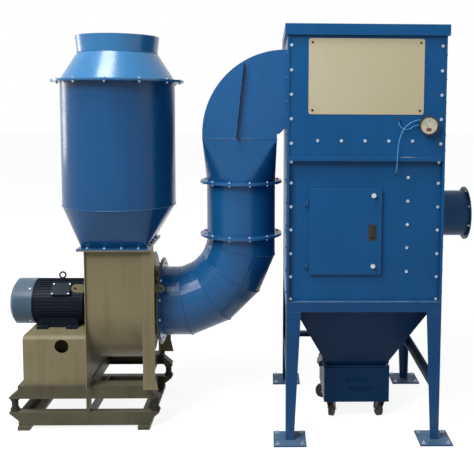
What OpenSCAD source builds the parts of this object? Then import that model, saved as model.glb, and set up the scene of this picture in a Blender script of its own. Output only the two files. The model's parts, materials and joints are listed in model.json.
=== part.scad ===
// Cartridge dust collector: a filter housing on four legs over a wheeled dust
// bin, joined by a bent duct to a base-mounted centrifugal fan with a round
// silencer on its outlet. Millimetres, Z up, front towards minus Y.
// Origin: floor level, on the axis of the vertical duct and the middle plane.

/* [Filter housing] */
// Distance from the vertical duct axis to the housing's left wall
duct_to_housing = 310; // [280:1:420]
// Width of the filter housing
housing_w = 1000; // [900:1:1200]
// Depth of the filter housing
housing_d = 1100; // [1000:1:1300]
// Thickness of the housing sheet
wall = 4; // [3:0.5:5]
// Underside of the base ring above the floor
ring_z = 860; // [780:1:950]
// Height of the base ring
ring_h = 63; // [50:1:90]
// Width of the base ring's flanges
ring_flange = 60; // [50:1:70]
// Height of the filter chamber
chamber_h = 927; // [850:1:1100]
// Height of the clean air plenum
plenum_h = 825; // [760:1:950]
// How far the roof reaches past the walls
roof_overhang = 15; // [8:1:30]
// Height of the roof's rim
roof_rim = 64; // [40:1:90]
// Width of the wall's front return
wall_return = 14; // [10:1:20]
// Width of the flange that a panel bolts to
panel_flange = 50; // [35:1:60]
// Depth of the lower panel behind the front plane
panel_recess = 38; // [25:1:50]
// Depth of the plenum cover behind the front plane
cover_recess = 8; // [5:1:15]
// Thickness of the tube sheet that carries the filters
tube_sheet_t = 6; // [5:1:10]
// Radius of a filter cartridge
filter_r = 160; // [150:1:165]
// Length of a filter cartridge
filter_h = 640; // [600:1:680]
// Spacing of the two rows of cartridges
filter_pitch = 450; // [430:1:500]
// Smallest gap between two cartridges of a row
filter_gap = 10; // [6:1:20]
// How far the ledge stands out in front of the housing
ledge_out = 6; // [3:1:15]
// Height of the ledge's front lip
ledge_lip = 24; // [15:1:35]

/* [Access door] */
// Door's left edge from the housing's left wall
door_x = 145; // [120:1:180]
// Width of the access door
door_w = 460; // [420:1:500]
// Lower edge of the door above the floor
door_z = 1102; // [1050:1:1150]
// Height of the access door
door_h = 552; // [500:1:600]
// Depth of the door's folded edge
door_t = 22; // [18:1:28]
// Overlap of the door on its opening
door_lap = 22; // [15:1:30]
// Gap between the door and the panel
door_gap = 0.5; // [0.3:0.1:1]
// Hinge pin radius
hinge_pin_r = 4; // [3:0.5:6]
// Length of one hinge knuckle
hinge_knuckle = 26; // [20:1:34]

/* [Hopper, bin and legs] */
// Inner size of the hopper's square outlet
outlet_w = 400; // [360:1:420]
// Underside of the hopper's outlet flange above the floor
outlet_z = 376; // [360:1:400]
// Width of the outlet flange around the outlet
outlet_flange = 27; // [20:1:32]
// Outer width of the dust bin
bin_w = 452; // [420:1:460]
// Outer depth of the dust bin
bin_d = 460; // [420:1:470]
// Underside of the dust bin above the floor
bin_z = 130; // [125:1:140]
// Thickness of the bin's sheet
bin_wall = 3; // [2:0.5:4]
// Gap between the bin's rim and the outlet flange
bin_gap = 5; // [5:1:10]
// Radius of a castor wheel
castor_r = 50; // [45:1:52]
// Width of a castor wheel's tread
castor_w = 30; // [26:1:34]
// Distance from a castor's swivel axis to its axle
castor_trail = 34; // [28:1:38]
// Castor swivel axis from the bin's side
castor_inset = 52; // [48:1:60]
// Width of a leg at its top
leg_top_w = 95; // [85:1:110]
// Width of a leg at its foot
leg_foot_w = 55; // [45:1:70]
// Thickness of a leg's folded plate
leg_t = 6; // [5:1:8]
// Side of a square foot plate
foot_w = 212; // [190:1:240]
// Thickness of a foot plate
foot_t = 10; // [8:1:14]
// Foot plate centre from the housing's faces
foot_inset = 28; // [22:1:34]
// Radius of an anchor hole in a foot plate
foot_hole_r = 8; // [6:0.5:10]
// Anchor hole centre from the foot plate's edge
foot_hole_edge = 26; // [22:1:34]
// Size of the angle ties between the legs
tie_w = 50; // [40:1:60]
// Thickness of the angle ties
tie_t = 5; // [4:1:6]
// Underside of the leg ties above the floor
tie_z = 345; // [300:1:400]

/* [Ducts] */
// Height of the inlet spigot's axis above the floor
inlet_z = 1425; // [1350:1:1500]
// Outer radius of the inlet spigot
inlet_r = 160; // [140:1:180]
// Length of the inlet spigot
inlet_len = 284; // [250:1:320]
// Outer radius of the inlet spigot's flange
inlet_flange_r = 187; // [184:1:210]
// Bolt circle diameter of the inlet flange
inlet_pcd = 348; // [345:1:352]
// Number of bolt holes in the inlet flange
inlet_holes = 8; // [4:1:12]
// Radius of a bolt hole in the inlet flange
inlet_hole_r = 5; // [4:0.5:6]
// Width and depth of the square duct elbow
square_duct = 500; // [460:1:520]
// Top of the square duct elbow above the floor
square_top = 2550; // [2500:1:2600]
// Outer bend radius of the square duct elbow
square_bend_r = 560; // [540:1:600]
// Size of the inner chamfer of the square duct elbow
square_chamfer = 60; // [40:1:80]
// Thickness of the duct sheet
duct_t = 3; // [2:0.5:4]
// Bottom of the square duct above the floor
square_seam_z = 1955; // [1920:1:1980]
// Outer radius of the round duct
duct_r = 240; // [220:1:250]
// Outer radius of the round duct's flanges
duct_flange_r = 287; // [275:1:300]
// Thickness of one duct flange
flange_t = 8; // [6:1:12]
// Joint between the transition and the straight duct
duct_joint_high = 1650; // [1600:1:1700]
// Joint between the straight duct and the round elbow
duct_joint_low = 1278; // [1272:1:1320]
// Centreline radius of the gored elbow
elbow_r = 480; // [470:1:485]
// Number of full gores between the elbow's two end gores
elbow_gores = 3; // [2:1:5]
// Sides of the rolled plate of each gore
elbow_sides = 48; // [24:4:72]

/* [Fan] */
// Height of the fan shaft above the floor
shaft_z = 790; // [780:1:792]
// Middle of the scroll from the vertical duct axis
scroll_x = 815; // [800:1:830]
// Inner width of the scroll
scroll_w = 370; // [340:1:380]
// Smallest radius of the scroll
scroll_r = 344; // [335:1:352]
// Growth of the scroll's radius in each quarter turn
scroll_step = 26; // [20:1:30]
// Thickness of the scroll sheet and side plates
scroll_t = 5; // [4:1:6]
// Edge of a side plate outside the scroll
plate_edge = 16; // [10:1:25]
// Depth of the fan's outlet
fan_outlet_d = 440; // [420:1:450]
// Top of the fan's outlet flange above the floor
fan_outlet_z = 1240; // [1220:1:1260]
// Width of the outlet flange around the outlet
fan_outlet_flange = 46; // [38:1:50]
// Radius of the inlet collar
collar_r = 236; // [226:1:245]
// Outer radius of the inlet collar's flange
collar_flange_r = 305; // [295:1:312]
// Width of a support leg under a side plate
support_w = 74; // [60:1:80]
// Reach of a lifting ear from its side plate
ear_reach = 96; // [80:1:110]
// Radius of a lifting ear
ear_r = 26; // [20:1:30]

/* [Impeller] */
// Outer radius of the impeller
impeller_r = 300; // [280:1:310]
// Radius of the impeller's eye
impeller_eye_r = 190; // [170:1:215]
// Width of the impeller at its rim
impeller_w = 170; // [140:1:200]
// Number of impeller blades
blade_count = 10; // [8:1:12]
// Thickness of an impeller blade
blade_t = 4; // [3:0.5:6]
// Thickness of the impeller's back plate and front ring
impeller_t = 5; // [4:1:8]
// Radius of the impeller's hub
hub_r = 55; // [45:1:65]

/* [Motor and base] */
// Shaft height of the foot-mounted motor
motor_h = 160; // [155:1:165]
// Radius of the motor's fan cowl
cowl_r = 159; // [150:1:160]
// Distance from the duct axis to the cowl's outer end
motor_end_x = 1594; // [1560:1:1620]
// Length of the cowl
cowl_len = 150; // [130:1:180]
// Length of the motor body
motor_len = 350; // [330:1:360]
// Number of cooling fins round the motor body
motor_fins = 36; // [24:1:40]
// Length of the motor pedestal
pedestal_len = 430; // [400:1:440]
// Depth of the motor pedestal
pedestal_d = 640; // [600:1:680]
// Radius of the round hole in the pedestal
pedestal_hole_r = 47; // [35:1:55]
// Length of the fan base
base_len = 880; // [870:1:900]
// Middle of the fan base from the vertical duct axis
base_x = 1040; // [1030:1:1050]
// Depth of the fan base
base_d = 700; // [690:1:720]
// Width of a base channel
channel_w = 55; // [45:1:65]
// Thickness of a base channel
channel_t = 7; // [5:1:9]
// Underside of the lower base frame above the floor
lower_z = 26; // [20:1:30]
// Height of the lower base frame
lower_h = 92; // [85:1:98]
// Height of the rubber isolators
isolator_h = 93; // [85:1:100]
// Radius of the rubber isolators
isolator_r = 30; // [25:1:34]
// Height of the upper base frame
upper_h = 89; // [80:1:95]
// Reach of the isolator brackets past the frame
bracket_out = 62; // [55:1:68]

/* [Silencer] */
// Radius of the silencer body
silencer_r = 375; // [360:1:380]
// Seam between the silencer's transition and body
silencer_seam_z = 1510; // [1480:1:1550]
// Top of the silencer's body
silencer_top_z = 2335; // [2300:1:2380]
// Outer radius of the silencer's top flange
silencer_flange_r = 434; // [425:1:438]
// Height of the cone above the flange
cone_h = 185; // [160:1:210]
// Radius of the neck at the cone
neck_r = 262; // [250:1:270]
// Radius of the neck at its open end
neck_end_r = 274; // [270:1:285]
// Height of the neck
neck_h = 108; // [90:1:130]
// Width of the silencer's rectangular bottom
silencer_bottom_w = 414; // [400:1:420]

/* [Gauge and plate] */
// Gauge centre from the housing's left wall
gauge_x = 886; // [870:1:900]
// Gauge centre above the floor
gauge_z = 2058; // [2040:1:2080]
// Radius of the gauge's bezel
gauge_r = 60; // [55:1:62]
// Depth of the gauge in front of the cover
gauge_depth = 44; // [38:1:48]
// Outer diameter of the gauge tubes
tube_d = 6; // [5:0.5:7]
// Left edge of the name plate from the housing's left wall
plate_x = 133; // [120:1:140]
// Width of the name plate
plate_w = 725; // [700:1:740]
// Lower edge of the name plate above the floor
plate_z = 2125; // [2125:1:2135]
// Height of the name plate
plate_h = 472; // [450:1:475]

/* [Hidden] */

$fn = 64;
slack = 1;
running_gap = 0.4;

// Paint colours as the photograph shows them
blue = [0.10, 0.35, 0.60];
dark_blue = [0.08, 0.24, 0.44];
tan_paint = [0.52, 0.50, 0.38];
navy = [0.08, 0.11, 0.16];

// Housing faces and levels
left_x = duct_to_housing;
right_x = left_x + housing_w;
mid_x = left_x + housing_w / 2;
front_y = -housing_d / 2;
rear_y = housing_d / 2;
ring_top = ring_z + ring_h;
sheet_z = ring_top + chamber_h;
plenum_z = sheet_z + tube_sheet_t;
plenum_top = plenum_z + plenum_h;
roof_z = plenum_top - roof_rim + wall;
panel_y = front_y + panel_recess;
cover_y = front_y + cover_recess;

// Door places
door_left = left_x + door_x;
door_face_y = panel_y - door_gap - door_t;
hinge_x = door_left - 11;
hinge_y = door_face_y;
hinge_zs = [door_z + 43, door_z + door_h - 108];
knob_x = door_left + door_w - 52;
knob_zs = [door_z + 56, door_z + door_h - 42];
handle_inset = 58.5;
handle_x = door_left + door_w - handle_inset;
handle_z = door_z + 272;
handle_w = 47;
handle_h = 93;
handle_lip = 5;
knob_r = 15;
knob_out = 26;
knob_shaft_r = 6;

// Bin and castor places
bin_top = outlet_z - bin_gap;
castor_xs = [mid_x - bin_w / 2 + castor_inset, mid_x + bin_w / 2 - castor_inset];
castor_ys = [-bin_d / 2 + castor_inset, bin_d / 2 - castor_inset];
castor_turn = [-20, 15, 90, -30];
fork_t = 4;
outlet_flange_t = 8;
clamp_z = bin_top - 50;
clamp_off = 16;
bin_handle_z = 275;
bin_handle_half = 66;
bin_handle_out = 45;
bin_handle_r = 8;

// Fan places
scroll_left = -scroll_x - scroll_w / 2;
scroll_right = -scroll_x + scroll_w / 2;
scroll_rs = [scroll_r, scroll_r + scroll_step, scroll_r + 2 * scroll_step];
scroll_front_y = -scroll_step / 2 - scroll_rs[2];
outlet_y = scroll_front_y + fan_outlet_d / 2;
pedestal_top = shaft_z - motor_h;
upper_z = lower_z + lower_h + isolator_h;
upper_top = upper_z + upper_h;
stop_x = 15;
stop_w = 24;
base_left = -base_x - base_len / 2;
base_right = -base_x + base_len / 2;
collar_end_x = scroll_right + scroll_t + 72;
collar_flange_t = 8;
post_t = 6;
post_flare = 20;
post_flare_h = 90;
rear_post_drop = 300;
ear_rise = 158;
ear_gap = 6;
ear_hole_r = 11;
ear_t = 10;
ear_y = -sqrt(pow(collar_flange_r + ear_gap, 2) - pow(ear_rise - ear_r, 2));
elbow_z = shaft_z;

// Points of the gauge tubes, chosen along their route
high_route = [
  [1149, -566, 2092], [1141, -566, 2092], [1120, -567, 2090], [1083, -569, 2074],
  [1046, -571, 2042], [1022, -571, 1996], [1010, -571, 1944], [1005, -571, 1890],
  [1003, -571, 1842], [1002, -569, 1812], [1001, -562, 1785], [1000, -550, 1765],
  [999, -536, 1755], [999, -523, 1755]
];
low_route = [
  [1135, -562, 2060], [1128, -562, 2060], [1106, -561, 2055], [1086, -559, 2040],
  [1066, -557, 2033], [1044, -556, 2036], [1026, -555, 2047], [1015, -554, 2062],
  [1013, -554, 2078], [1013, -554, 2084]
];
tube_sides = 8;

// Small helpers

// Plate with its corners cut round by true circles
module round_plate(w, h, t, r) {
  linear_extrude(t) {
    square([w - 2 * r, h], center = true);
    square([w, h - 2 * r], center = true);
    for (sx = [-1, 1], sy = [-1, 1])
      translate([sx * (w / 2 - r), sy * (h / 2 - r)]) circle(r);
  }
}

module ring_face(outer, inner) {
  difference() {
    circle(outer);
    circle(inner);
  }
}

// Ring with its axis along Z
module ring(outer, inner, t) {
  linear_extrude(t) ring_face(outer, inner);
}

// Rectangular frame lying flat
module rect_frame(w, d, edge, t) {
  linear_extrude(t) difference() {
    square([w, d], center = true);
    square([w - 2 * edge, d - 2 * edge], center = true);
  }
}

// Turns a shape drawn along Z so that it runs along X
module along_x() {
  rotate([0, 90, 0]) children();
}

// Housing

// Plan of a left side sheet with its front return and panel flange
module side_plan(recess) {
  translate([0, front_y]) square([wall, housing_d]);
  translate([0, front_y]) square([wall_return, wall]);
  translate([0, front_y + recess + wall]) square([panel_flange, wall]);
}

module left_sheet(z0, z1, recess) {
  translate([left_x, 0, z0]) linear_extrude(z1 - z0) side_plan(recess);
}

module right_sheet(z0, z1, recess) {
  translate([right_x, 0, z0]) linear_extrude(z1 - z0) mirror([1, 0]) side_plan(recess);
}

module rear_sheet(z0, z1) {
  translate([left_x + wall, rear_y - wall, z0]) cube([housing_w - 2 * wall, wall, z1 - z0]);
}

module roof_cap() color(blue) {
  w = housing_w + 2 * roof_overhang;
  d = housing_d + 2 * roof_overhang;
  translate([mid_x, 0, plenum_top]) linear_extrude(wall) square([w, d], center = true);
  translate([mid_x, 0, roof_z]) rect_frame(w, d, wall, roof_rim - wall);
  translate([mid_x, 0, roof_z - wall]) rect_frame(w, d, roof_overhang, wall);
}

module plenum_left_wall() color(blue) difference() {
  left_sheet(plenum_z, plenum_top, cover_recess);
  translate([left_x - slack, -square_duct / 2, square_top - mouth_h])
    cube([wall + 2 * slack, square_duct, mouth_h]);
}

module plenum_right_wall() color(blue) right_sheet(plenum_z, plenum_top, cover_recess);

module plenum_rear_wall() color(blue) rear_sheet(plenum_z, plenum_top);

module plenum_front_cover() color(blue)
  translate([left_x + wall_return, cover_y, plenum_z])
    cube([housing_w - 2 * wall_return, wall, plenum_h]);

filter_xs = [mid_x - filter_pitch / 2, mid_x + filter_pitch / 2];
filter_room = rear_y - wall - panel_y - wall;
filter_count = floor((filter_room + filter_gap) / (2 * filter_r + filter_gap));
filter_step = filter_room / filter_count;
filter_ys = [for (i = [0:filter_count - 1]) panel_y + wall + (i + 0.5) * filter_step];
filter_cap = 20;
filter_port_r = filter_r - 30;

module tube_sheet() color(blue) {
  difference() {
    translate([left_x, front_y, sheet_z]) cube([housing_w, housing_d, tube_sheet_t]);
    for (x = filter_xs, y = filter_ys)
      translate([x, y, sheet_z - slack]) cylinder(r = filter_port_r, h = tube_sheet_t + 2 * slack);
  }
  translate([left_x + wall_return, front_y - ledge_out, sheet_z])
    cube([housing_w - 2 * wall_return, ledge_out, tube_sheet_t]);
  translate([left_x + wall_return, front_y - ledge_out, sheet_z - ledge_lip + tube_sheet_t])
    cube([housing_w - 2 * wall_return, wall, ledge_lip - tube_sheet_t]);
}

module filter_cartridges() color([0.85, 0.85, 0.80])
  for (x = filter_xs, y = filter_ys) translate([x, y, sheet_z - filter_h]) {
    cylinder(r = filter_r, h = filter_cap);
    translate([0, 0, filter_cap]) cylinder(r = filter_r - 5, h = filter_h - 2 * filter_cap);
    translate([0, 0, filter_h - filter_cap]) ring(filter_r, filter_port_r, filter_cap);
  }

module chamber_left_wall() color(blue) left_sheet(ring_top, sheet_z, panel_recess);

module chamber_right_wall() color(blue) difference() {
  right_sheet(ring_top, sheet_z, panel_recess);
  translate([right_x - wall - slack, 0, inlet_z]) along_x()
    cylinder(r = inlet_r - duct_t, h = wall + 2 * slack);
}

module chamber_rear_wall() color(blue) rear_sheet(ring_top, sheet_z);

// Half of a bullet hinge: a web and the lower knuckle with its pin
module fixed_hinge() {
  difference() {
    union() {
      cylinder(r = hinge_pin_r + 3, h = hinge_knuckle);
      translate([-22, 0, 0]) cube([22, 5, hinge_knuckle]);
      translate([-22, 0, 0]) cube([5, door_t + door_gap, hinge_knuckle]);
    }
  }
  cylinder(r = hinge_pin_r, h = 2 * hinge_knuckle - 2);
}

module chamber_front_panel() color(blue) {
  difference() {
    translate([left_x + wall, panel_y, ring_top])
      cube([housing_w - 2 * wall, wall, chamber_h]);
    translate([door_left + door_lap, panel_y - slack, door_z + door_lap])
      cube([door_w - 2 * door_lap, wall + 2 * slack, door_h - 2 * door_lap]);
  }
  for (z = hinge_zs) translate([hinge_x, hinge_y, z]) fixed_hinge();
}

module base_ring() color(blue) {
  translate([mid_x, 0, ring_z]) {
    rect_frame(housing_w, housing_d, leg_t, ring_h);
    rect_frame(housing_w, housing_d, ring_flange, leg_t);
    translate([0, 0, ring_h - leg_t]) rect_frame(housing_w, housing_d, ring_flange, leg_t);
  }
}

// Four-sided hopper solid between two levels
module hopper_form(top_w, top_d, bottom_w, z_top, z_bottom) {
  hull() {
    translate([mid_x, 0, z_top - 0.01]) linear_extrude(0.01) square([top_w, top_d], center = true);
    translate([mid_x, 0, z_bottom]) linear_extrude(0.01) square(bottom_w, center = true);
  }
}

module hopper() color(dark_blue) {
  top_w = housing_w - 2 * ring_flange;
  top_d = housing_d - 2 * ring_flange;
  z0 = outlet_z + outlet_flange_t;
  difference() {
    union() {
      hopper_form(top_w, top_d, outlet_w + 2 * wall, ring_z, z0);
      translate([mid_x, 0, ring_z - wall])
        rect_frame(housing_w - 2 * leg_t, housing_d - 2 * leg_t, ring_flange - leg_t + slack, wall);
    }
    hopper_form(top_w - 2 * wall, top_d - 2 * wall, outlet_w, ring_z + slack, z0 - slack);
  }
}

// Square flange under the hopper, where the dust bin is clamped
module hopper_outlet_flange() color(dark_blue) translate([mid_x, 0, outlet_z])
  rect_frame(outlet_w + 2 * outlet_flange, outlet_w + 2 * outlet_flange, outlet_flange,
    outlet_flange_t);

// Outline of one tapered face of a leg, its straight edge on the Y axis
module leg_face() {
  polygon([[0, foot_t], [leg_foot_w, foot_t], [leg_top_w, ring_z], [0, ring_z]]);
}

// Leg at the front left corner; the others are its mirror images
module leg_form() {
  translate([0, leg_t, 0]) rotate([90, 0, 0]) linear_extrude(leg_t) leg_face();
  rotate([90, 0, 90]) linear_extrude(leg_t) leg_face();
  difference() {
    translate([foot_inset - foot_w / 2, foot_inset - foot_w / 2, 0]) cube([foot_w, foot_w, foot_t]);
    for (sx = [-1, 1], sy = [-1, 1])
      translate([foot_inset + sx * (foot_w / 2 - foot_hole_edge),
                 foot_inset + sy * (foot_w / 2 - foot_hole_edge), -slack])
        cylinder(r = foot_hole_r, h = foot_t + 2 * slack, $fn = 32);
  }
}

// Places a leg at one corner of the housing
module leg_at(right, rear) color(blue)
  translate([right ? right_x : left_x, rear ? rear_y : front_y, 0])
    mirror([right ? 1 : 0, 0, 0]) mirror([0, rear ? 1 : 0, 0]) leg_form();

module leg_front_left() leg_at(false, false);
module leg_front_right() leg_at(true, false);
module leg_rear_left() leg_at(false, true);
module leg_rear_right() leg_at(true, true);

// Angle section of a tie, its corner at the origin
module angle_section() {
  square([tie_w, tie_t]);
  square([tie_t, tie_w]);
}

module leg_ties() color(dark_blue) {
  side_len = housing_d - 2 * leg_t;
  rear_len = housing_w - 2 * leg_t - 2 * tie_t;
  for (side = [0, 1])
    translate([side == 0 ? left_x + leg_t : right_x - leg_t, 0, tie_z])
      mirror([side, 0, 0]) translate([0, side_len / 2, 0]) rotate([90, 0, 0])
        linear_extrude(side_len) angle_section();
  translate([mid_x - rear_len / 2, rear_y - leg_t, tie_z + tie_w]) rotate([90, 0, 90])
    linear_extrude(rear_len) mirror([1, 0]) mirror([0, 1]) angle_section();
}

module inlet_spigot() color(dark_blue) translate([right_x, 0, inlet_z]) along_x() {
  ring(inlet_r, inlet_r - duct_t, inlet_len);
  ring(inlet_r + 28, inlet_r - slack, 5);
  translate([0, 0, inlet_len - flange_t]) difference() {
    ring(inlet_flange_r, inlet_r - slack, flange_t);
    for (i = [0:inlet_holes - 1]) rotate([0, 0, 360 * (i + 0.5) / inlet_holes])
      translate([inlet_pcd / 2, 0, -slack])
        cylinder(r = inlet_hole_r, h = flange_t + 2 * slack, $fn = 32);
  }
}

module name_plate() color([0.80, 0.75, 0.60])
  translate([left_x + plate_x + plate_w / 2, cover_y, plate_z + plate_h / 2])
    rotate([90, 0, 0]) round_plate(plate_w, plate_h, 3, 14);

// Short boss with its axis across the cover
module panel_fitting(x, y, z, len) {
  translate([x, y, z]) rotate([90, 0, 0]) cylinder(r = 7, h = len);
}

module pressure_gauge() color([0.12, 0.12, 0.12]) {
  translate([left_x + gauge_x, cover_y, gauge_z]) {
    rotate([90, 0, 0]) cylinder(r = gauge_r - 5, h = gauge_depth - 12);
    translate([0, 12 - gauge_depth, 0]) rotate([90, 0, 0]) ring(gauge_r, gauge_r - 8, 12);
    translate([0, 12 - gauge_depth, 0]) rotate([90, 0, 0]) cylinder(r = gauge_r - 8, h = 6);
  }
  gauge_left = left_x + gauge_x;
  translate([high_route[0][0], high_route[0][1], high_route[0][2]]) along_x()
    cylinder(r = 6, h = gauge_left - high_route[0][0]);
  translate([low_route[0][0], low_route[0][1], low_route[0][2]]) along_x()
    cylinder(r = 6, h = gauge_left - low_route[0][0]);
  tip = high_route[len(high_route) - 1];
  panel_fitting(tip[0], panel_y, tip[2], panel_y - tip[1]);
  low_tip = low_route[len(low_route) - 1];
  panel_fitting(low_tip[0], cover_y, low_tip[2] + 12, cover_y - low_tip[1] + 6);
  translate(low_tip) cylinder(r = 5, h = 12);
}

// Sweep of a round tube through route points, each ring square to the route
function unit(v) = v / norm(v);
function route_dir(p, i) = unit(p[min(i + 1, len(p) - 1)] - p[max(i - 1, 0)]);
function end_dir(route, p, i) = i == 0 ? unit(route[1] - route[0])
  : i == len(p) - 1 ? unit(route[len(route) - 1] - route[len(route) - 2]) : route_dir(p, i);
function side_dir(d) = unit(cross(d, [1, 1, 1]));
function ring_point(p, d, r, a) =
  let (s = side_dir(d), u = cross(s, d)) p + r * (cos(a) * s + sin(a) * u);
function bend(p0, p1, p2, p3, t) = 0.5 * (2 * p1 + (p2 - p0) * t
  + (2 * p0 - 5 * p1 + 4 * p2 - p3) * t * t + (3 * p1 - p0 - 3 * p2 + p3) * t * t * t);
function smooth_route(p, steps) = [
  for (i = [0:len(p) - 2], k = [0:steps - 1])
    bend(p[max(i - 1, 0)], p[i], p[i + 1], p[min(i + 2, len(p) - 1)], k / steps),
  p[len(p) - 1]
];

module tube_along(route, d) {
  p = smooth_route(route, 2);
  n = len(p);
  m = tube_sides;
  points = [for (i = [0:n - 1], j = [0:m - 1])
    ring_point(p[i], end_dir(route, p, i), d / 2, 360 * j / m)];
  sides = [for (i = [0:n - 2], j = [0:m - 1])
    [i * m + j, i * m + (j + 1) % m, (i + 1) * m + (j + 1) % m, (i + 1) * m + j]];
  caps = [[for (j = [m - 1:-1:0]) j], [for (j = [0:m - 1]) (n - 1) * m + j]];
  polyhedron(points, concat(sides, caps));
}

module gauge_tube_high() color([0.55, 0.75, 0.90]) tube_along(high_route, tube_d);
module gauge_tube_low() color([0.55, 0.75, 0.90]) tube_along(low_route, tube_d);

// Access door

// Web and upper knuckle of a bullet hinge, which turn on the fixed pin
module door_hinge() {
  translate([0, 0, hinge_knuckle + running_gap]) difference() {
    union() {
      cylinder(r = hinge_pin_r + 3, h = hinge_knuckle);
      cube([12, 4, hinge_knuckle]);
    }
    translate([0, 0, -slack]) cylinder(r = hinge_pin_r + running_gap, h = hinge_knuckle + 2 * slack);
  }
}

module door() color(blue) {
  difference() {
    translate([door_left, door_face_y, door_z]) cube([door_w, door_t, door_h]);
    translate([door_left + wall, door_face_y + wall, door_z + wall])
      cube([door_w - 2 * wall, door_t, door_h - 2 * wall]);
    for (z = knob_zs) translate([knob_x, door_face_y + wall + slack, z]) rotate([90, 0, 0])
      cylinder(r = knob_shaft_r + running_gap, h = wall + 2 * slack);
    translate([handle_x - handle_w / 2, door_face_y - slack, handle_z - handle_h / 2])
      cube([handle_w, wall + 2 * slack, handle_h]);
  }
  for (z = hinge_zs) translate([hinge_x, hinge_y, z]) door_hinge();
}

// Recessed pull with a bezel, a pocket and a grip lip
module door_handle() color([0.05, 0.05, 0.05])
  translate([handle_x, door_face_y, handle_z]) {
    difference() {
      union() {
        translate([-handle_w / 2 - handle_lip, -2, -handle_h / 2 - handle_lip])
          cube([handle_w + 2 * handle_lip, 2, handle_h + 2 * handle_lip]);
        translate([-handle_w / 2, -2, -handle_h / 2]) cube([handle_w, door_t - 2, handle_h]);
      }
      translate([-handle_w / 2 + 3, -3, -handle_h / 2 + 3])
        cube([handle_w - 6, door_t - 4, handle_h - 6]);
    }
    translate([-handle_w / 2, -2, -handle_h / 2]) cube([14, 3, handle_h]);
  }

// Quarter-turn knob with a cross bar on its face
module latch_knob(z) color([0.80, 0.80, 0.80])
  translate([knob_x, door_face_y, z]) rotate([90, 0, 0]) {
    translate([0, 0, -wall - 4]) cylinder(r = knob_shaft_r, h = wall + 4 + running_gap);
    translate([0, 0, -wall - 8]) cylinder(r = knob_r - 3, h = 8 - running_gap);
    translate([0, 0, running_gap]) cylinder(r = knob_r, h = 10);
    translate([-knob_r + 2, -4, running_gap]) cube([2 * knob_r - 4, 8, knob_out]);
  }

module latch_knob_upper() latch_knob(knob_zs[1]);
module latch_knob_lower() latch_knob(knob_zs[0]);

// Dust bin

module dust_bin() color(dark_blue) {
  difference() {
    translate([mid_x - bin_w / 2, -bin_d / 2, bin_z]) cube([bin_w, bin_d, bin_top - bin_z]);
    translate([mid_x - bin_w / 2 + bin_wall, -bin_d / 2 + bin_wall, bin_z + bin_wall])
      cube([bin_w - 2 * bin_wall, bin_d - 2 * bin_wall, bin_top]);
  }
  for (s = [-1, 1]) translate([mid_x + s * bin_handle_half, -bin_d / 2, bin_handle_z])
    rotate([90, 0, 0]) cylinder(r = bin_handle_r - 1, h = bin_handle_out);
  translate([mid_x - bin_handle_half - 10, -bin_d / 2 - bin_handle_out, bin_handle_z]) along_x()
    cylinder(r = bin_handle_r, h = 2 * bin_handle_half + 20);
  for (s = [-1, 1]) clamp_post(s);
}

// Two ears on the bin's side that carry a clamp's pin
module clamp_post(s) {
  translate([mid_x + s * bin_w / 2, 0, clamp_z]) mirror([s < 0 ? 1 : 0, 0, 0]) {
    for (y = [-18, 14]) difference() {
      translate([0, y, -14]) cube([clamp_off + 8, 4, 28]);
    }
    translate([clamp_off, 18, 0]) rotate([90, 0, 0]) cylinder(r = 3, h = 36);
  }
}

// Hook clamp that turns on the bin's pin and grips the outlet flange
module clamp_form() {
  hook_z = outlet_z + outlet_flange_t - clamp_z + 5;
  difference() {
    union() {
      rotate([90, 0, 0]) translate([0, 0, -13]) cylinder(r = 8, h = 26);
      translate([-3, -13, 0]) cube([8, 26, hook_z + 6]);
    }
    rotate([90, 0, 0]) translate([0, 0, -20]) cylinder(r = 3 + running_gap, h = 40);
  }
  translate([-clamp_off - 4, -13, hook_z]) cube([clamp_off + 6, 26, 6]);
  translate([5, -9, 4]) cube([5, 18, hook_z - 10]);
  translate([9, -9, 4]) cube([9, 18, hook_z - 30]);
}

module bin_clamp_left() color([0.7, 0.7, 0.72])
  translate([mid_x - bin_w / 2 - clamp_off, 0, clamp_z]) mirror([1, 0, 0]) clamp_form();
module bin_clamp_right() color([0.7, 0.7, 0.72])
  translate([mid_x + bin_w / 2 + clamp_off, 0, clamp_z]) clamp_form();

// Castor fork with its axle, drawn with the swivel axis on Z and the wheel behind
module castor_fork(i) color(navy)
  translate([castor_xs[i % 2], castor_ys[floor(i / 2)], 0]) rotate([0, 0, castor_turn[i]]) {
    translate([0, 0, bin_z - 14]) cylinder(r = 26, h = 14 - running_gap);
    translate([-castor_w / 2 - 8, -26, bin_z - 18]) cube([castor_w + 16, 52, 6]);
    for (s = [-1, 1]) translate([s * (castor_w / 2 + 6) - fork_t / 2, 0, 0]) rotate([90, 0, 90])
      linear_extrude(fork_t)
        polygon([[-26, bin_z - 12], [26, bin_z - 12], [castor_trail + 12, castor_r - 10],
                 [castor_trail - 12, castor_r - 10]]);
    translate([-castor_w / 2 - 11, castor_trail, castor_r]) along_x()
      cylinder(r = 6, h = castor_w + 22);
  }

module castor_wheel(i) color([0.06, 0.06, 0.06])
  translate([castor_xs[i % 2], castor_ys[floor(i / 2)], 0]) rotate([0, 0, castor_turn[i]])
    translate([-castor_w / 2, castor_trail, castor_r]) along_x() difference() {
      cylinder(r = castor_r, h = castor_w);
      translate([0, 0, -slack]) cylinder(r = 6 + running_gap, h = castor_w + 2 * slack);
    }

module castor_fork_front_left() castor_fork(0);
module castor_fork_front_right() castor_fork(1);
module castor_fork_rear_left() castor_fork(2);
module castor_fork_rear_right() castor_fork(3);
module castor_wheel_front_left() castor_wheel(0);
module castor_wheel_front_right() castor_wheel(1);
module castor_wheel_rear_left() castor_wheel(2);
module castor_wheel_rear_right() castor_wheel(3);

// Ducts

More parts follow.
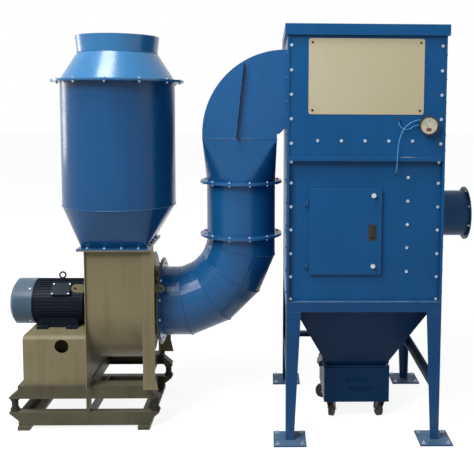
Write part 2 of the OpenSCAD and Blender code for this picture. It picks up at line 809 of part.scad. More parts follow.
rib_w = 40;
rib_t = 4;
rib_len = 500;
rib_lean = 6;
bend_z = square_top - square_bend_r;
mouth_h = square_top - bend_z - square_chamfer + 15;
chamfer_z = square_top - mouth_h - square_chamfer;

// Side view of the square elbow, drawn in by t, open past its two ends by e
module square_elbow_face(t, e) {
  half = square_duct / 2;
  difference() {
    union() {
      intersection() {
        translate([left_x, bend_z]) circle(square_bend_r - t, $fn = 96);
        translate([-2 * half, bend_z]) square([left_x + 2 * half, square_bend_r]);
      }
      translate([left_x - square_bend_r + t, square_seam_z - e])
        square([half + square_bend_r - left_x - 2 * t, bend_z - square_seam_z + e + 1]);
      translate([left_x - slack, square_top - mouth_h + t]) square([e + slack, mouth_h - 2 * t]);
    }
    polygon([[half - t, square_seam_z - 2], [half - t, chamfer_z + t / 2],
             [left_x, square_top - mouth_h + t], [left_x + 2 * slack, square_top - mouth_h + t],
             [left_x + 2 * slack, square_seam_z - 2]]);
  }
}

module duct_square_elbow() color(blue) {
  translate([0, square_duct / 2, 0]) rotate([90, 0, 0]) difference() {
    linear_extrude(square_duct) square_elbow_face(0, 0);
    translate([0, 0, duct_t]) linear_extrude(square_duct - 2 * duct_t)
      square_elbow_face(duct_t, slack);
  }
  translate([-28, -square_duct / 2, square_seam_z + 10]) rotate([90, 0, 0])
    rotate([0, 0, -rib_lean]) {
      linear_extrude(rib_t) square([rib_w, rib_len]);
      linear_extrude(rib_w) square([rib_t, rib_len]);
    }
}

module duct_transition() color(blue) {
  low = duct_joint_high;
  difference() {
    hull() {
      translate([0, 0, square_seam_z - 0.01]) linear_extrude(0.01) square(square_duct, center = true);
      translate([0, 0, low]) cylinder(r = duct_r, h = 0.01, $fn = 48);
    }
    hull() {
      translate([0, 0, square_seam_z]) linear_extrude(1)
        square(square_duct - 2 * duct_t, center = true);
      translate([0, 0, low - 1]) cylinder(r = duct_r - duct_t, h = 1, $fn = 48);
    }
  }
  translate([0, 0, low]) ring(duct_flange_r, duct_r - slack, flange_t);
}

module duct_straight() color(blue) {
  translate([0, 0, duct_joint_low]) ring(duct_r, duct_r - duct_t, duct_joint_high - duct_joint_low);
  translate([0, 0, duct_joint_low]) ring(duct_flange_r, duct_r - slack, flange_t);
  translate([0, 0, duct_joint_high - flange_t]) ring(duct_flange_r, duct_r - slack, flange_t);
}

// A ring of the round elbow on the mitre plane at this angle round the bend
function mitre_ring(r, angle, spread) = [
  for (j = [0:elbow_sides - 1])
    let (out = (elbow_r + r * cos(360 * j / elbow_sides)) / cos(spread))
      [out * cos(angle) - elbow_r, r * sin(360 * j / elbow_sides),
       elbow_z + elbow_r - out * sin(angle)]
];

// The whole bend as one bar of gores, its ends lengthened by e
module elbow_bar(r, e) {
  step = 90 / (elbow_gores + 1);
  m = elbow_sides;
  last = elbow_gores + 2;
  top = [for (q = mitre_ring(r, 0, 0)) [q[0], q[1], duct_joint_low + e]];
  end = [for (q = mitre_ring(r, 90, 0)) [collar_end_x - e, q[1], q[2]]];
  mitres = [for (i = [0:elbow_gores], q = mitre_ring(r, (i + 0.5) * step, step / 2)) q];
  sides = [for (i = [0:last - 1], j = [0:m - 1])
    [i * m + j, i * m + (j + 1) % m, (i + 1) * m + (j + 1) % m, (i + 1) * m + j]];
  caps = [[for (j = [0:m - 1]) m - 1 - j], [for (j = [0:m - 1]) last * m + j]];
  polyhedron(concat(top, mitres, end), concat(sides, caps), convexity = 4);
}

module duct_round_elbow() color(blue) {
  difference() {
    union() {
      elbow_bar(duct_r, 0);
      translate([0, 0, duct_joint_low - flange_t]) cylinder(r = duct_flange_r, h = flange_t);
      translate([collar_end_x, 0, elbow_z]) along_x() cylinder(r = duct_flange_r, h = flange_t);
    }
    elbow_bar(duct_r - duct_t, slack);
  }
}

// Fan

// Outline of the scroll, built from a quarter circle for each growth step
module scroll_face(t) {
  h = scroll_step / 2;
  translate([h, -h]) intersection() {
    circle(scroll_rs[0] - t, $fn = 96);
    square(scroll_rs[0]);
  }
  translate([-h, -h]) intersection() {
    circle(scroll_rs[1] - t, $fn = 96);
    translate([0, -scroll_rs[1]]) square(scroll_rs[1]);
  }
  translate([-h, h]) intersection() {
    circle(scroll_rs[2] - t, $fn = 96);
    translate([-scroll_rs[2], -scroll_rs[2]]) square(scroll_rs[2]);
  }
  translate([-h - 1, -h - 1]) square([2 * h + 2, scroll_rs[0] - t + 1]);
  translate([-h, -h - 1]) square([2 * h + scroll_rs[0] / 2, 2]);
}

// Straight part of the scroll that rises to the outlet
module outlet_face(t, e) {
  translate([scroll_front_y + t, scroll_step / 2 - 1])
    square([fan_outlet_d - 2 * t, fan_outlet_z - shaft_z - scroll_step / 2 + 1 + e]);
}

module scroll_outline(t, e) {
  scroll_face(t);
  outlet_face(t, e);
}

// Stands a YZ outline up at the shaft's height
module fan_section(x, w) {
  translate([x, 0, shaft_z]) rotate([90, 0, 90]) linear_extrude(w) children();
}

module fan_scroll() color(tan_paint) {
  difference() {
    fan_section(scroll_left, scroll_w) scroll_outline(0, 0);
    fan_section(scroll_left - slack, scroll_w + 2 * slack) scroll_outline(scroll_t, slack);
  }
  translate([-scroll_x, outlet_y, fan_outlet_z - flange_t]) difference() {
    linear_extrude(flange_t)
      square([scroll_w + 2 * fan_outlet_flange, fan_outlet_d + 2 * fan_outlet_flange], center = true);
    translate([0, 0, -slack]) linear_extrude(flange_t + 2 * slack)
      square([scroll_w + 2 * scroll_t, fan_outlet_d - 2 * scroll_t], center = true);
  }
}

// Side plate outline with its two support legs
module side_plate_face() {
  foot = upper_top - shaft_z;
  difference() {
    union() {
      translate([0, 0]) scroll_face(-plate_edge);
      translate([scroll_front_y - plate_edge, scroll_step / 2 - 1])
        square([fan_outlet_d, fan_outlet_z - shaft_z - flange_t - scroll_step / 2 + 1]);
      polygon([[scroll_front_y - plate_edge, 40], [scroll_front_y - plate_edge, foot],
               [scroll_front_y + support_w + 50, foot], [scroll_front_y + 160, -200], [0, 0]]);
      polygon([[scroll_rs[1] - 30, 40], [scroll_rs[1] - 10, foot],
               [scroll_rs[1] - 130, foot], [scroll_rs[1] - 160, -200], [0, 0]]);
    }
    translate([-2 * scroll_rs[2], foot - scroll_rs[2]]) square([4 * scroll_rs[2], scroll_rs[2]]);
  }
}

// Lifting ear that stands out from a side plate, clear of the round inlet flanges
module ear(x, s) {
  translate([x, ear_y, shaft_z + ear_rise]) mirror([s < 0 ? 1 : 0, 0, 0]) rotate([90, 0, 0])
    difference() {
      union() {
        translate([0, -ear_r, 0]) cube([ear_reach, 2 * ear_r, ear_t]);
        translate([ear_reach, 0, 0]) cylinder(r = ear_r, h = ear_t);
      }
      translate([ear_reach, 0, -slack]) cylinder(r = ear_hole_r, h = ear_t + 2 * slack);
    }
}

module fan_drive_plate() color(tan_paint) {
  difference() {
    fan_section(scroll_left - scroll_t, scroll_t) side_plate_face();
    translate([scroll_left - 20, 0, shaft_z]) along_x() cylinder(r = 45, h = 40);
  }
  ear(scroll_left - scroll_t, -1);
}

module fan_inlet_plate() color(tan_paint) {
  difference() {
    fan_section(scroll_right, scroll_t) side_plate_face();
    translate([scroll_right - 20, 0, shaft_z]) along_x() cylinder(r = collar_r, h = 40);
  }
  for (y = [scroll_front_y - plate_edge, scroll_rs[1] - 40]) {
    h = fan_outlet_z - flange_t - upper_top - (y > 0 ? rear_post_drop : 0);
    translate([scroll_right + scroll_t, y + post_t, upper_top]) rotate([90, 0, 0])
      linear_extrude(post_t) polygon([[0, 0], [support_w + post_flare, 0],
        [support_w, post_flare_h], [support_w, h], [0, h]]);
  }
  ear(scroll_right + scroll_t, 1);
}

module fan_inlet_collar() color(tan_paint) translate([scroll_right + scroll_t, 0, shaft_z]) along_x() {
  len = collar_end_x - scroll_right - scroll_t;
  ring(collar_r + 8, collar_r, len);
  translate([0, 0, len - collar_flange_t]) ring(collar_flange_r, collar_r + 7, collar_flange_t);
  ring(collar_r + 40, collar_r + 7, 6);
}

// Outline of one backward-curved blade from the eye to the rim
module blade_face() {
  bow = impeller_r * 0.70;
  intersection() {
    translate([impeller_r * 0.55, impeller_r * 0.62]) ring_face(bow, bow - blade_t);
    ring_face(impeller_r - 2, impeller_eye_r - 40);
    translate([0, -impeller_r]) square([impeller_r, impeller_r]);
  }
}

// Places an impeller part on the fan's shaft
module impeller_place() color(tan_paint)
  translate([scroll_right - impeller_w - 20, 0, shaft_z]) along_x() children();

// Impeller back plate on its hub
module impeller_back_plate() impeller_place() difference() {
  union() {
    cylinder(r = impeller_r, h = impeller_t);
    translate([0, 0, -hub_back]) cylinder(r = hub_r, h = hub_back + 40);
  }
  translate([0, 0, -hub_back - slack]) cylinder(r = shaft_r, h = hub_back + 40 + 2 * slack);
}

// Impeller blades between the back plate and the front ring
module impeller_blades() impeller_place()
  for (i = [0:blade_count - 1]) rotate([0, 0, 360 * i / blade_count])
    translate([0, 0, impeller_t]) linear_extrude(impeller_w - 2 * impeller_t) blade_face();

// Impeller front ring round the eye
module impeller_front_ring() impeller_place()
  translate([0, 0, impeller_w - impeller_t]) ring(impeller_r, impeller_eye_r, impeller_t);

// Motor

shaft_r = 24;
hub_back = 60;
body_r = 150;
body_x = -motor_end_x + cowl_len;
fin_top = 8;
motor_foot_in = 38;
motor_foot_w = 74;
motor_foot_t = 16;
motor_foot_y = 127;
terminal_x = 140;
terminal_len = 122;
terminal_w = 86;
terminal_h = 30;
terminal_tilt = 48;
cowl_t = 4;
end_shield_t = 12;
cowl_nose = 28;
grille_rs = [40, 62, 84, 106];
grille_slot = 7;
grille_spokes = 6;

module motor_body() color(navy) {
  translate([body_x, 0, shaft_z]) along_x() {
    cylinder(r = body_r, h = motor_len);
    cylinder(r = cowl_r, h = end_shield_t);
    translate([0, 0, motor_len]) cylinder(r = body_r - 20, h = 26);
    cylinder(r = shaft_r, h = scroll_left - body_x + 190);
    for (i = [0:motor_fins - 1]) rotate([0, 0, 180 + (i - (motor_fins - 1) / 2) * 290 / motor_fins])
      translate([body_r - 4, -1.5, 20]) cube([fin_top + 4, 3, motor_len - 40]);
  }
  for (x = [body_x + motor_foot_in, body_x + motor_len - motor_foot_in - motor_foot_w],
       s = [-1, 1])
    translate([x, s * motor_foot_y - motor_foot_w / 2, pedestal_top])
      cube([motor_foot_w, motor_foot_w, motor_foot_t]);
  for (s = [-1, 1]) translate([body_x + motor_foot_in, s * 112 - 8, pedestal_top])
    cube([motor_len - 2 * motor_foot_in, 16, 70]);
  translate([body_x + terminal_x, 0, shaft_z]) rotate([terminal_tilt, 0, 0])
    translate([0, -terminal_w / 2, body_r - 10]) {
      cube([terminal_len, terminal_w, terminal_h]);
      translate([-4, -4, terminal_h]) cube([terminal_len + 8, terminal_w + 8, 5]);
    }
}

// Pressed fan cowl with ring slots in its nose
module motor_cowl() color([0.20, 0.28, 0.38])
  translate([body_x - cowl_len, 0, shaft_z]) along_x() {
    nose_r = cowl_r - cowl_nose;
    difference() {
      rotate_extrude() polygon([
        [0, 0], [nose_r, 0], [cowl_r, cowl_nose - 6], [cowl_r, cowl_len],
        [cowl_r - cowl_t, cowl_len], [cowl_r - cowl_t, cowl_nose - 4], [nose_r - 2, cowl_t],
        [0, cowl_t]
      ]);
      translate([0, 0, -slack]) linear_extrude(cowl_t + 2 * slack) difference() {
        for (r = grille_rs) ring_face(r + grille_slot / 2, r - grille_slot / 2);
        for (i = [0:grille_spokes - 1]) rotate(360 * i / grille_spokes)
          translate([0, -5]) square([cowl_r, 10]);
      }
    }
  }

module motor_pedestal() color(tan_paint) {
  x0 = -motor_end_x + 144;
  h = pedestal_top - upper_top;
  t = 8;
  difference() {
    translate([x0, -pedestal_d / 2, upper_top]) union() {
      cube([pedestal_len, pedestal_d, h - 30]);
      translate([0, 30, 0]) cube([pedestal_len, pedestal_d - 60, h]);
      for (y = [30, pedestal_d - 30]) translate([0, y, h - 30]) along_x()
        cylinder(r = 30, h = pedestal_len);
    }
    translate([x0 + t, -pedestal_d / 2 + t, upper_top - slack])
      cube([pedestal_len - 2 * t, pedestal_d - 2 * t, h - 30 + slack]);
    translate([x0 + t, -pedestal_d / 2 + 30, upper_top - slack])
      cube([pedestal_len - 2 * t, pedestal_d - 60, h - t + slack]);
    translate([x0 + pedestal_len * 0.6, pedestal_d / 2 + slack, pedestal_top - 70])
      rotate([90, 0, 0]) cylinder(r = pedestal_hole_r, h = pedestal_d + 2 * slack);
  }
}

// Base frames

// C section standing on edge, open towards plus X of the section
module channel_section(h) {
  difference() {
    square([channel_w, h]);
    translate([channel_t, channel_t]) square([channel_w, h - 2 * channel_t]);
  }
}

// Long beam along X whose flanges point to the middle of the base
module beam(s, z, h) {
  translate([base_left, s * base_d / 2, z]) mirror([0, s > 0 ? 1 : 0, 0])
    rotate([90, 0, 90]) linear_extrude(base_len) channel_section(h);
}

// Bracket that reaches past the end of the frame over or under an isolator
module end_bracket(right, s, z, up) {
  w = 70;
  translate([right ? base_right : base_left, s * (base_d / 2 - w / 2) + w / 2, z])
    mirror([right ? 0 : 1, 0, 0]) rotate([90, 0, 0]) linear_extrude(w)
      polygon(up ? [[0, 0], [bracket_out, 0], [bracket_out, 8], [0, 60]]
                 : [[0, 0], [bracket_out, 0], [bracket_out, -8], [0, -60]]);
}

module frame_form(z, h) {
  for (s = [-1, 1]) beam(s, z, h);
  for (x = [base_left, base_right - channel_w, -base_x + 20])
    translate([x, -base_d / 2 + channel_t, z])
      cube([channel_t, base_d - 2 * channel_t, h]);
}

module fan_upper_frame() color(tan_paint) {
  frame_form(upper_z, upper_h);
  for (right = [false, true], s = [-1, 1]) end_bracket(right, s, upper_z, true);
  translate([base_left, -base_d / 2, upper_top - channel_t]) cube([base_len, 90, channel_t]);
  translate([base_left, base_d / 2 - 90, upper_top - channel_t]) cube([base_len, 90, channel_t]);
}

module fan_lower_frame() color(tan_paint) {
  frame_form(lower_z, lower_h);
  translate([-base_x + stop_x, -base_d / 2, lower_z + lower_h])
    cube([stop_w, channel_w - 10, isolator_h - running_gap]);
  for (right = [false, true], s = [-1, 1]) end_bracket(right, s, lower_z + lower_h, false);
  for (x = [base_left, base_right - 80])
    translate([x, -base_d / 2 - 20, 0]) cube([80, base_d + 40, lower_z]);
}

module isolator_mounts() color([0.06, 0.06, 0.06]) {
  for (x = [base_left - bracket_out + isolator_r, base_right + bracket_out - isolator_r],
       s = [-1, 1])
    translate([x, s * (base_d / 2 - 35), lower_z + lower_h]) {
      cylinder(r = isolator_r, h = 18);
      cylinder(r = isolator_r - 8, h = isolator_h);
      translate([0, 0, isolator_h - 18]) cylinder(r = isolator_r, h = 18);
    }
}

// Silencer

// Loft from the rectangular outlet to the round body
module silencer_loft(w, d, r, z0, z1) {
  hull() {
    translate([-scroll_x, outlet_y, z0]) linear_extrude(0.01) square([w, d], center = true);
    translate([-scroll_x, outlet_y, z1 - 0.01]) cylinder(r = r, h = 0.01, $fn = 56);
  }
}

module silencer_transition() color(blue) {
  z0 = fan_outlet_z + flange_t;
  w = silencer_bottom_w;
  d = fan_outlet_d;
  difference() {
    silencer_loft(w, d, silencer_r, z0, silencer_seam_z);
    silencer_loft(w - 2 * duct_t, d - 2 * duct_t, silencer_r - duct_t, z0 - 0.02,
                  silencer_seam_z + 0.02);
  }
  translate([-scroll_x, outlet_y, fan_outlet_z]) linear_extrude(flange_t) difference() {
    square([scroll_w + 2 * fan_outlet_flange, d + 2 * fan_outlet_flange], center = true);
    square([w - 2 * duct_t, d - 2 * duct_t], center = true);
  }
}

module silencer_body() color(blue) translate([-scroll_x, outlet_y, 0]) {
  translate([0, 0, silencer_seam_z]) ring(silencer_r, silencer_r - duct_t,
                                          silencer_top_z - silencer_seam_z);
  translate([0, 0, silencer_top_z - flange_t]) ring(silencer_flange_r, silencer_r - slack, flange_t);
}

module silencer_top() color(blue) translate([-scroll_x, outlet_y, silencer_top_z])
  rotate_extrude() polygon([
    [silencer_r - duct_t, 0], [silencer_flange_r, 0], [silencer_flange_r, flange_t],
    [silencer_r, flange_t], [neck_r, cone_h], [neck_end_r, cone_h + neck_h],
    [neck_end_r - duct_t, cone_h + neck_h], [neck_r - duct_t, cone_h]
  ]);

roof_cap();
plenum_left_wall();
plenum_right_wall();
plenum_rear_wall();
plenum_front_cover();
tube_sheet();
filter_cartridges();
chamber_left_wall();
chamber_right_wall();
chamber_rear_wall();
chamber_front_panel();
base_ring();
hopper();
hopper_outlet_flange();
leg_front_left();
leg_front_right();
leg_rear_left();
leg_rear_right();
leg_ties();
inlet_spigot();
name_plate();
pressure_gauge();
gauge_tube_high();
gauge_tube_low();
door();
door_handle();
latch_knob_upper();
latch_knob_lower();
dust_bin();
bin_clamp_left();
bin_clamp_right();
castor_fork_front_left();
castor_fork_front_right();
castor_fork_rear_left();
castor_fork_rear_right();
castor_wheel_front_left();
castor_wheel_front_right();
castor_wheel_rear_left();
castor_wheel_rear_right();
duct_square_elbow();
duct_transition();
duct_straight();
duct_round_elbow();
fan_scroll();
fan_drive_plate();
fan_inlet_plate();
fan_inlet_collar();
impeller_back_plate();
impeller_blades();
impeller_front_ring();
motor_body();
motor_cowl();
motor_pedestal();
fan_upper_frame();
fan_lower_frame();
isolator_mounts();
silencer_transition();
silencer_body();
silencer_top();
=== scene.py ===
"""Dressing of a cartridge dust collector with its bin, ducts, fan and silencer.

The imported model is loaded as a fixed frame. Everything here adds finish to it:
paint and rubber, bolt heads, weld beads, the gauge dial, tubes and small trim.
"""

from __future__ import annotations

import json
import logging
import math
from dataclasses import dataclass, field
from enum import Enum
from typing import Callable, Iterable, Optional, Sequence

import bmesh
import bpy
from mathutils import Matrix, Vector

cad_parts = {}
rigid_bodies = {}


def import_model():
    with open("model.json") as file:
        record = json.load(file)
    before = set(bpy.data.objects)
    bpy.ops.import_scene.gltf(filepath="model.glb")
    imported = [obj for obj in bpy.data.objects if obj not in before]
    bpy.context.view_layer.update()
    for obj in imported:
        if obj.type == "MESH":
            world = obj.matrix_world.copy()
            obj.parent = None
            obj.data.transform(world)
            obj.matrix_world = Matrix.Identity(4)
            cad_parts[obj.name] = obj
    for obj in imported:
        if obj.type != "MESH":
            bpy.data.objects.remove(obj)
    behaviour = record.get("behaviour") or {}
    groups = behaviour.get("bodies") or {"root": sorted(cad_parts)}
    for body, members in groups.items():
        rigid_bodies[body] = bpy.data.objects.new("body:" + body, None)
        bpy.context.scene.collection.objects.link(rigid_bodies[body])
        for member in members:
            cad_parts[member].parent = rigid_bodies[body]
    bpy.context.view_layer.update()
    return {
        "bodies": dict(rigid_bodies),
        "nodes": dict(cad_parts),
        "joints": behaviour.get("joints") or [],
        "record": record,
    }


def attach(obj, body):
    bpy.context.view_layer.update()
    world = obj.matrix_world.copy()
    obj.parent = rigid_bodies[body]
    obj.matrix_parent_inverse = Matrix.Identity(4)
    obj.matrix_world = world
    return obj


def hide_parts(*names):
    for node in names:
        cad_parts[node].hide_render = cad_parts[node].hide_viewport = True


LOG = logging.getLogger("dust_collector")

Point = tuple[float, float, float]
Colour = tuple[float, float, float]

ROOT = "frame_and_ducts"


class Head(Enum):
    """Kinds of small repeated part that a field can repeat."""

    HEX = "hex head on a washer"
    NUT = "hex nut with its bolt end"
    DOME = "domed screw"
    RIB = "flat rib"


class Lay(Enum):
    """Axes along which a dust or streak pattern may run."""

    EVEN = "even"
    DOWN = "down the sheet"


def srgb(red: float, green: float, blue: float) -> Colour:
    """Turn an 8-bit screen colour into the linear colour that shaders take.

    Args:
        red: Red, 0 to 255.
        green: Green, 0 to 255.
        blue: Blue, 0 to 255.

    Returns:
        The linear colour.
    """

    def channel(value: float) -> float:
        """Linearise one channel."""
        part = value / 255.0
        return part / 12.92 if part <= 0.04045 else ((part + 0.055) / 1.055) ** 2.4

    return (channel(red), channel(green), channel(blue))


class Wiring:
    """A short-hand for adding and joining the nodes of one tree."""

    def __init__(self, tree: bpy.types.NodeTree) -> None:
        """Keep the tree that is being wired."""
        self.tree = tree

    def add(self, kind: str, **settings: object) -> bpy.types.Node:
        """Add a node.

        Args:
            kind: Blender's name of the node type.
            **settings: Properties to set on it.

        Returns:
            The new node.
        """
        node = self.tree.nodes.new(kind)
        for name, value in settings.items():
            setattr(node, name, value)
        return node

    def put(self, node: bpy.types.Node, **values: object) -> bpy.types.Node:
        """Set input values by the socket's name, with underscores for spaces."""
        for name, value in values.items():
            node.inputs[name.replace("_", " ")].default_value = value
        return node

    def join(self, output: bpy.types.NodeSocket, to: bpy.types.NodeSocket) -> None:
        """Link two sockets."""
        self.tree.links.new(output, to)

    def math(self, work: str, *parts: object) -> bpy.types.NodeSocket:
        """Add a maths node whose inputs are sockets or numbers.

        Args:
            work: The operation.
            *parts: Sockets or numbers, in order.

        Returns:
            The result socket.
        """
        node = self.add("ShaderNodeMath", operation=work)
        for place, part in enumerate(parts):
            if isinstance(part, (int, float)):
                node.inputs[place].default_value = part
            else:
                self.join(part, node.inputs[place])
        return node.outputs[0]

    def spread(
        self, source: bpy.types.NodeSocket, low: float, high: float, to_low: float = 0.0, to_high: float = 1.0
    ) -> bpy.types.NodeSocket:
        """Map a range of a value on to another range, clamped.

        Args:
            source: The value.
            low: Start of the range that is read.
            high: End of the range that is read.
            to_low: Result at the start.
            to_high: Result at the end.

        Returns:
            The result socket.
        """
        node = self.add("ShaderNodeMapRange", clamp=True)
        for place, value in ((1, low), (2, high), (3, to_low), (4, to_high)):
            node.inputs[place].default_value = value
        self.join(source, node.inputs[0])
        return node.outputs[0]

    def noise(
        self, where: bpy.types.NodeSocket, scale: float, detail: float = 4.0, stretch: Point = (1.0, 1.0, 1.0)
    ) -> bpy.types.NodeSocket:
        """Add a noise pattern on the object's own coordinates.

        Args:
            where: The coordinates.
            scale: Repeats to a metre.
            detail: Octaves of detail.
            stretch: Scale of the coordinates on each axis.

        Returns:
            The noise value.
        """
        mapping = self.add("ShaderNodeMapping")
        mapping.inputs["Scale"].default_value = stretch
        self.join(where, mapping.inputs["Vector"])
        node = self.put(self.add("ShaderNodeTexNoise"), Scale=scale, Detail=detail, Roughness=0.55)
        self.join(mapping.outputs[0], node.inputs["Vector"])
        return node.outputs["Fac"]

    def blend(
        self, share: bpy.types.NodeSocket, under: object, over: object
    ) -> bpy.types.NodeSocket:
        """Mix two colours.

        Args:
            share: How much of the second colour shows.
            under: A colour or a colour socket.
            over: A colour or a colour socket.

        Returns:
            The mixed colour.
        """
        node = self.add("ShaderNodeMix", data_type="RGBA")
        self.join(share, node.inputs[0])
        for place, part in ((6, under), (7, over)):
            if isinstance(part, tuple):
                node.inputs[place].default_value = (*part, 1.0)
            else:
                self.join(part, node.inputs[place])
        return node.outputs[2]


@dataclass(frozen=True)
class CoatedSheet:
    """Sprayed enamel on sheet or plate, with dust, streaks and a pale edge band that is partly paint wear and partly
    painted highlight.
    """

    name: str
    base: Colour
    light: Colour
    dirt: Colour
    # Pale colour used for dust on upper faces and for the edge band, where it is partly painted highlight.
    worn: Colour
    rough: float = 0.34
    coat: float = 0.05
    gloss: float = 0.22
    cloud_scale: float = 2.2
    cloud: float = 0.5
    dust: float = 0.35
    streaks: float = 0.25
    # Strength and width of the pale edge band: partly paint wear, partly painted highlight on lit edges.
    wear: float = 0.5
    wear_width: float = 0.004
    ripple: float = 0.10
    low_dust: float = 0.0
    low_height: float = 0.5
    lay: Lay = Lay.DOWN

    def build(self) -> bpy.types.Material:
        """Make the node material."""
        made = bpy.data.materials.new(self.name)
        made.use_nodes = True
        made.diffuse_color = (*self.base, 1.0)
        wiring = Wiring(made.node_tree)
        shader = made.node_tree.nodes["Principled BSDF"]
        where = wiring.add("ShaderNodeTexCoord").outputs["Object"]
        geometry = wiring.add("ShaderNodeNewGeometry")
        cloud = wiring.spread(wiring.noise(where, self.cloud_scale), 0.36, 0.66, 0.0, self.cloud)
        colour = wiring.blend(cloud, self.base, self.light)
        stretch = (9.0, 9.0, 0.7) if self.lay is Lay.DOWN else (5.0, 5.0, 5.0)
        streak = wiring.spread(wiring.noise(where, 1.6, 7.0, stretch), 0.52, 0.80, 0.0, self.streaks)
        colour = wiring.blend(streak, colour, self.dirt)
        parts = wiring.add("ShaderNodeSeparateXYZ")
        wiring.join(geometry.outputs["Normal"], parts.inputs[0])
        up = wiring.spread(parts.outputs["Z"], 0.25, 0.95)
        patch = wiring.spread(wiring.noise(where, 14.0, 6.0), 0.30, 0.62, 0.35, 1.0)
        dust = wiring.math("MULTIPLY", wiring.math("MULTIPLY", up, patch), self.dust)
        if self.low_dust > 0.0:
            height = wiring.add("ShaderNodeSeparateXYZ")
            wiring.join(where, height.inputs[0])
            low = wiring.spread(height.outputs["Z"], self.low_height, 0.0, 0.0, self.low_dust)
            grain = wiring.spread(wiring.noise(where, 5.0, 8.0), 0.34, 0.64)
            dust = wiring.math("MAXIMUM", dust, wiring.math("MULTIPLY", low, grain))
        colour = wiring.blend(dust, colour, self.worn)
        # Pale band along the edges from the bevel normal: partly paint rubbed off, partly a painted highlight where
        # the edges catch the light.
        rounded = wiring.add("ShaderNodeBevel", samples=4)
        rounded.inputs["Radius"].default_value = self.wear_width
        across = wiring.add("ShaderNodeVectorMath", operation="DOT_PRODUCT")
        wiring.join(rounded.outputs[0], across.inputs[0])
        wiring.join(geometry.outputs["Normal"], across.inputs[1])
        worn_and_glinting_edge = wiring.spread(across.outputs["Value"], 0.985, 0.90, 0.0, self.wear)
        rub = wiring.spread(wiring.noise(where, 22.0, 5.0), 0.38, 0.60, 0.25, 1.0)
        colour = wiring.blend(wiring.math("MULTIPLY", worn_and_glinting_edge, rub), colour, self.worn)
        wiring.join(colour, shader.inputs["Base Color"])
        sheen = wiring.spread(wiring.noise(where, 6.0, 5.0), 0.3, 0.7, self.rough - 0.06, self.rough + 0.10)
        wiring.join(wiring.math("ADD", sheen, wiring.math("MULTIPLY", dust, 0.35)), shader.inputs["Roughness"])
        shader.inputs["Specular IOR Level"].default_value = self.gloss
        shader.inputs["Coat Weight"].default_value = self.coat
        shader.inputs["Coat Roughness"].default_value = 0.16
        skin = wiring.put(wiring.add("ShaderNodeBump"), Strength=0.06, Distance=0.0006)
        wiring.join(wiring.noise(where, 260.0, 2.0), skin.inputs["Height"])
        sway = wiring.put(wiring.add("ShaderNodeBump"), Strength=self.ripple, Distance=0.02)
        wiring.join(wiring.noise(where, 1.7, 1.0), sway.inputs["Height"])
        wiring.join(skin.outputs[0], sway.inputs["Normal"])
        wiring.join(sway.outputs[0], shader.inputs["Normal"])
        return made


@dataclass(frozen=True)
class BareMetal:
    """Plated or bare metal with fine brushing and small stains."""

    name: str
    base: Colour
    stain: Colour
    rough: float = 0.28
    metallic: float = 1.0
    stain_share: float = 0.4
    brush: Point = (1.0, 1.0, 1.0)
    brush_scale: float = 90.0

    def build(self) -> bpy.types.Material:
        """Make the node material."""
        made = bpy.data.materials.new(self.name)
        made.use_nodes = True
        made.diffuse_color = (*self.base, 1.0)
        wiring = Wiring(made.node_tree)
        shader = made.node_tree.nodes["Principled BSDF"]
        where = wiring.add("ShaderNodeTexCoord").outputs["Object"]
        patch = wiring.spread(wiring.noise(where, 18.0, 6.0), 0.42, 0.68, 0.0, self.stain_share)
        wiring.join(wiring.blend(patch, self.base, self.stain), shader.inputs["Base Color"])
        shader.inputs["Metallic"].default_value = self.metallic
        brush = wiring.noise(where, self.brush_scale, 3.0, self.brush)
        wiring.join(wiring.spread(brush, 0.3, 0.7, self.rough - 0.08, self.rough + 0.12), shader.inputs["Roughness"])
        grain = wiring.put(wiring.add("ShaderNodeBump"), Strength=0.08, Distance=0.0004)
        wiring.join(brush, grain.inputs["Height"])
        wiring.join(grain.outputs[0], shader.inputs["Normal"])
        return made


@dataclass(frozen=True)
class Moulded:
    """Moulded plastic, rubber or paper with a fine grain and a little dust."""

    name: str
    base: Colour
    dust: Colour
    rough: float = 0.5
    dust_share: float = 0.3
    grain_scale: float = 400.0
    grain: float = 0.10
    soft: float = 0.0

    def build(self) -> bpy.types.Material:
        """Make the node material."""
        made = bpy.data.materials.new(self.name)
        made.use_nodes = True
        made.diffuse_color = (*self.base, 1.0)
        wiring = Wiring(made.node_tree)
        shader = made.node_tree.nodes["Principled BSDF"]
        where = wiring.add("ShaderNodeTexCoord").outputs["Object"]
        patch = wiring.spread(wiring.noise(where, 11.0, 6.0), 0.40, 0.70, 0.0, self.dust_share)
        wiring.join(wiring.blend(patch, self.base, self.dust), shader.inputs["Base Color"])
        wiring.join(wiring.spread(patch, 0.0, 1.0, self.rough, min(1.0, self.rough + 0.3)), shader.inputs["Roughness"])
        shader.inputs["Sheen Weight"].default_value = self.soft
        bump = wiring.put(wiring.add("ShaderNodeBump"), Strength=self.grain, Distance=0.0005)
        wiring.join(wiring.noise(where, self.grain_scale, 3.0), bump.inputs["Height"])
        wiring.join(bump.outputs[0], shader.inputs["Normal"])
        return made


@dataclass(frozen=True)
class PleatedPaper:
    """Filter paper whose folds run up the cartridge."""

    name: str
    base: Colour
    soot: Colour

    def build(self) -> bpy.types.Material:
        """Make the node material."""
        made = bpy.data.materials.new(self.name)
        made.use_nodes = True
        made.diffuse_color = (*self.base, 1.0)
        wiring = Wiring(made.node_tree)
        shader = made.node_tree.nodes["Principled BSDF"]
        where = wiring.add("ShaderNodeTexCoord").outputs["Object"]
        grime = wiring.spread(wiring.noise(where, 3.0, 7.0, (1.0, 1.0, 0.4)), 0.38, 0.66, 0.15, 0.8)
        wiring.join(wiring.blend(grime, self.base, self.soot), shader.inputs["Base Color"])
        shader.inputs["Roughness"].default_value = 0.95
        bump = wiring.put(wiring.add("ShaderNodeBump"), Strength=0.25, Distance=0.001)
        wiring.join(wiring.noise(where, 130.0, 5.0), bump.inputs["Height"])
        wiring.join(bump.outputs[0], shader.inputs["Normal"])
        return made


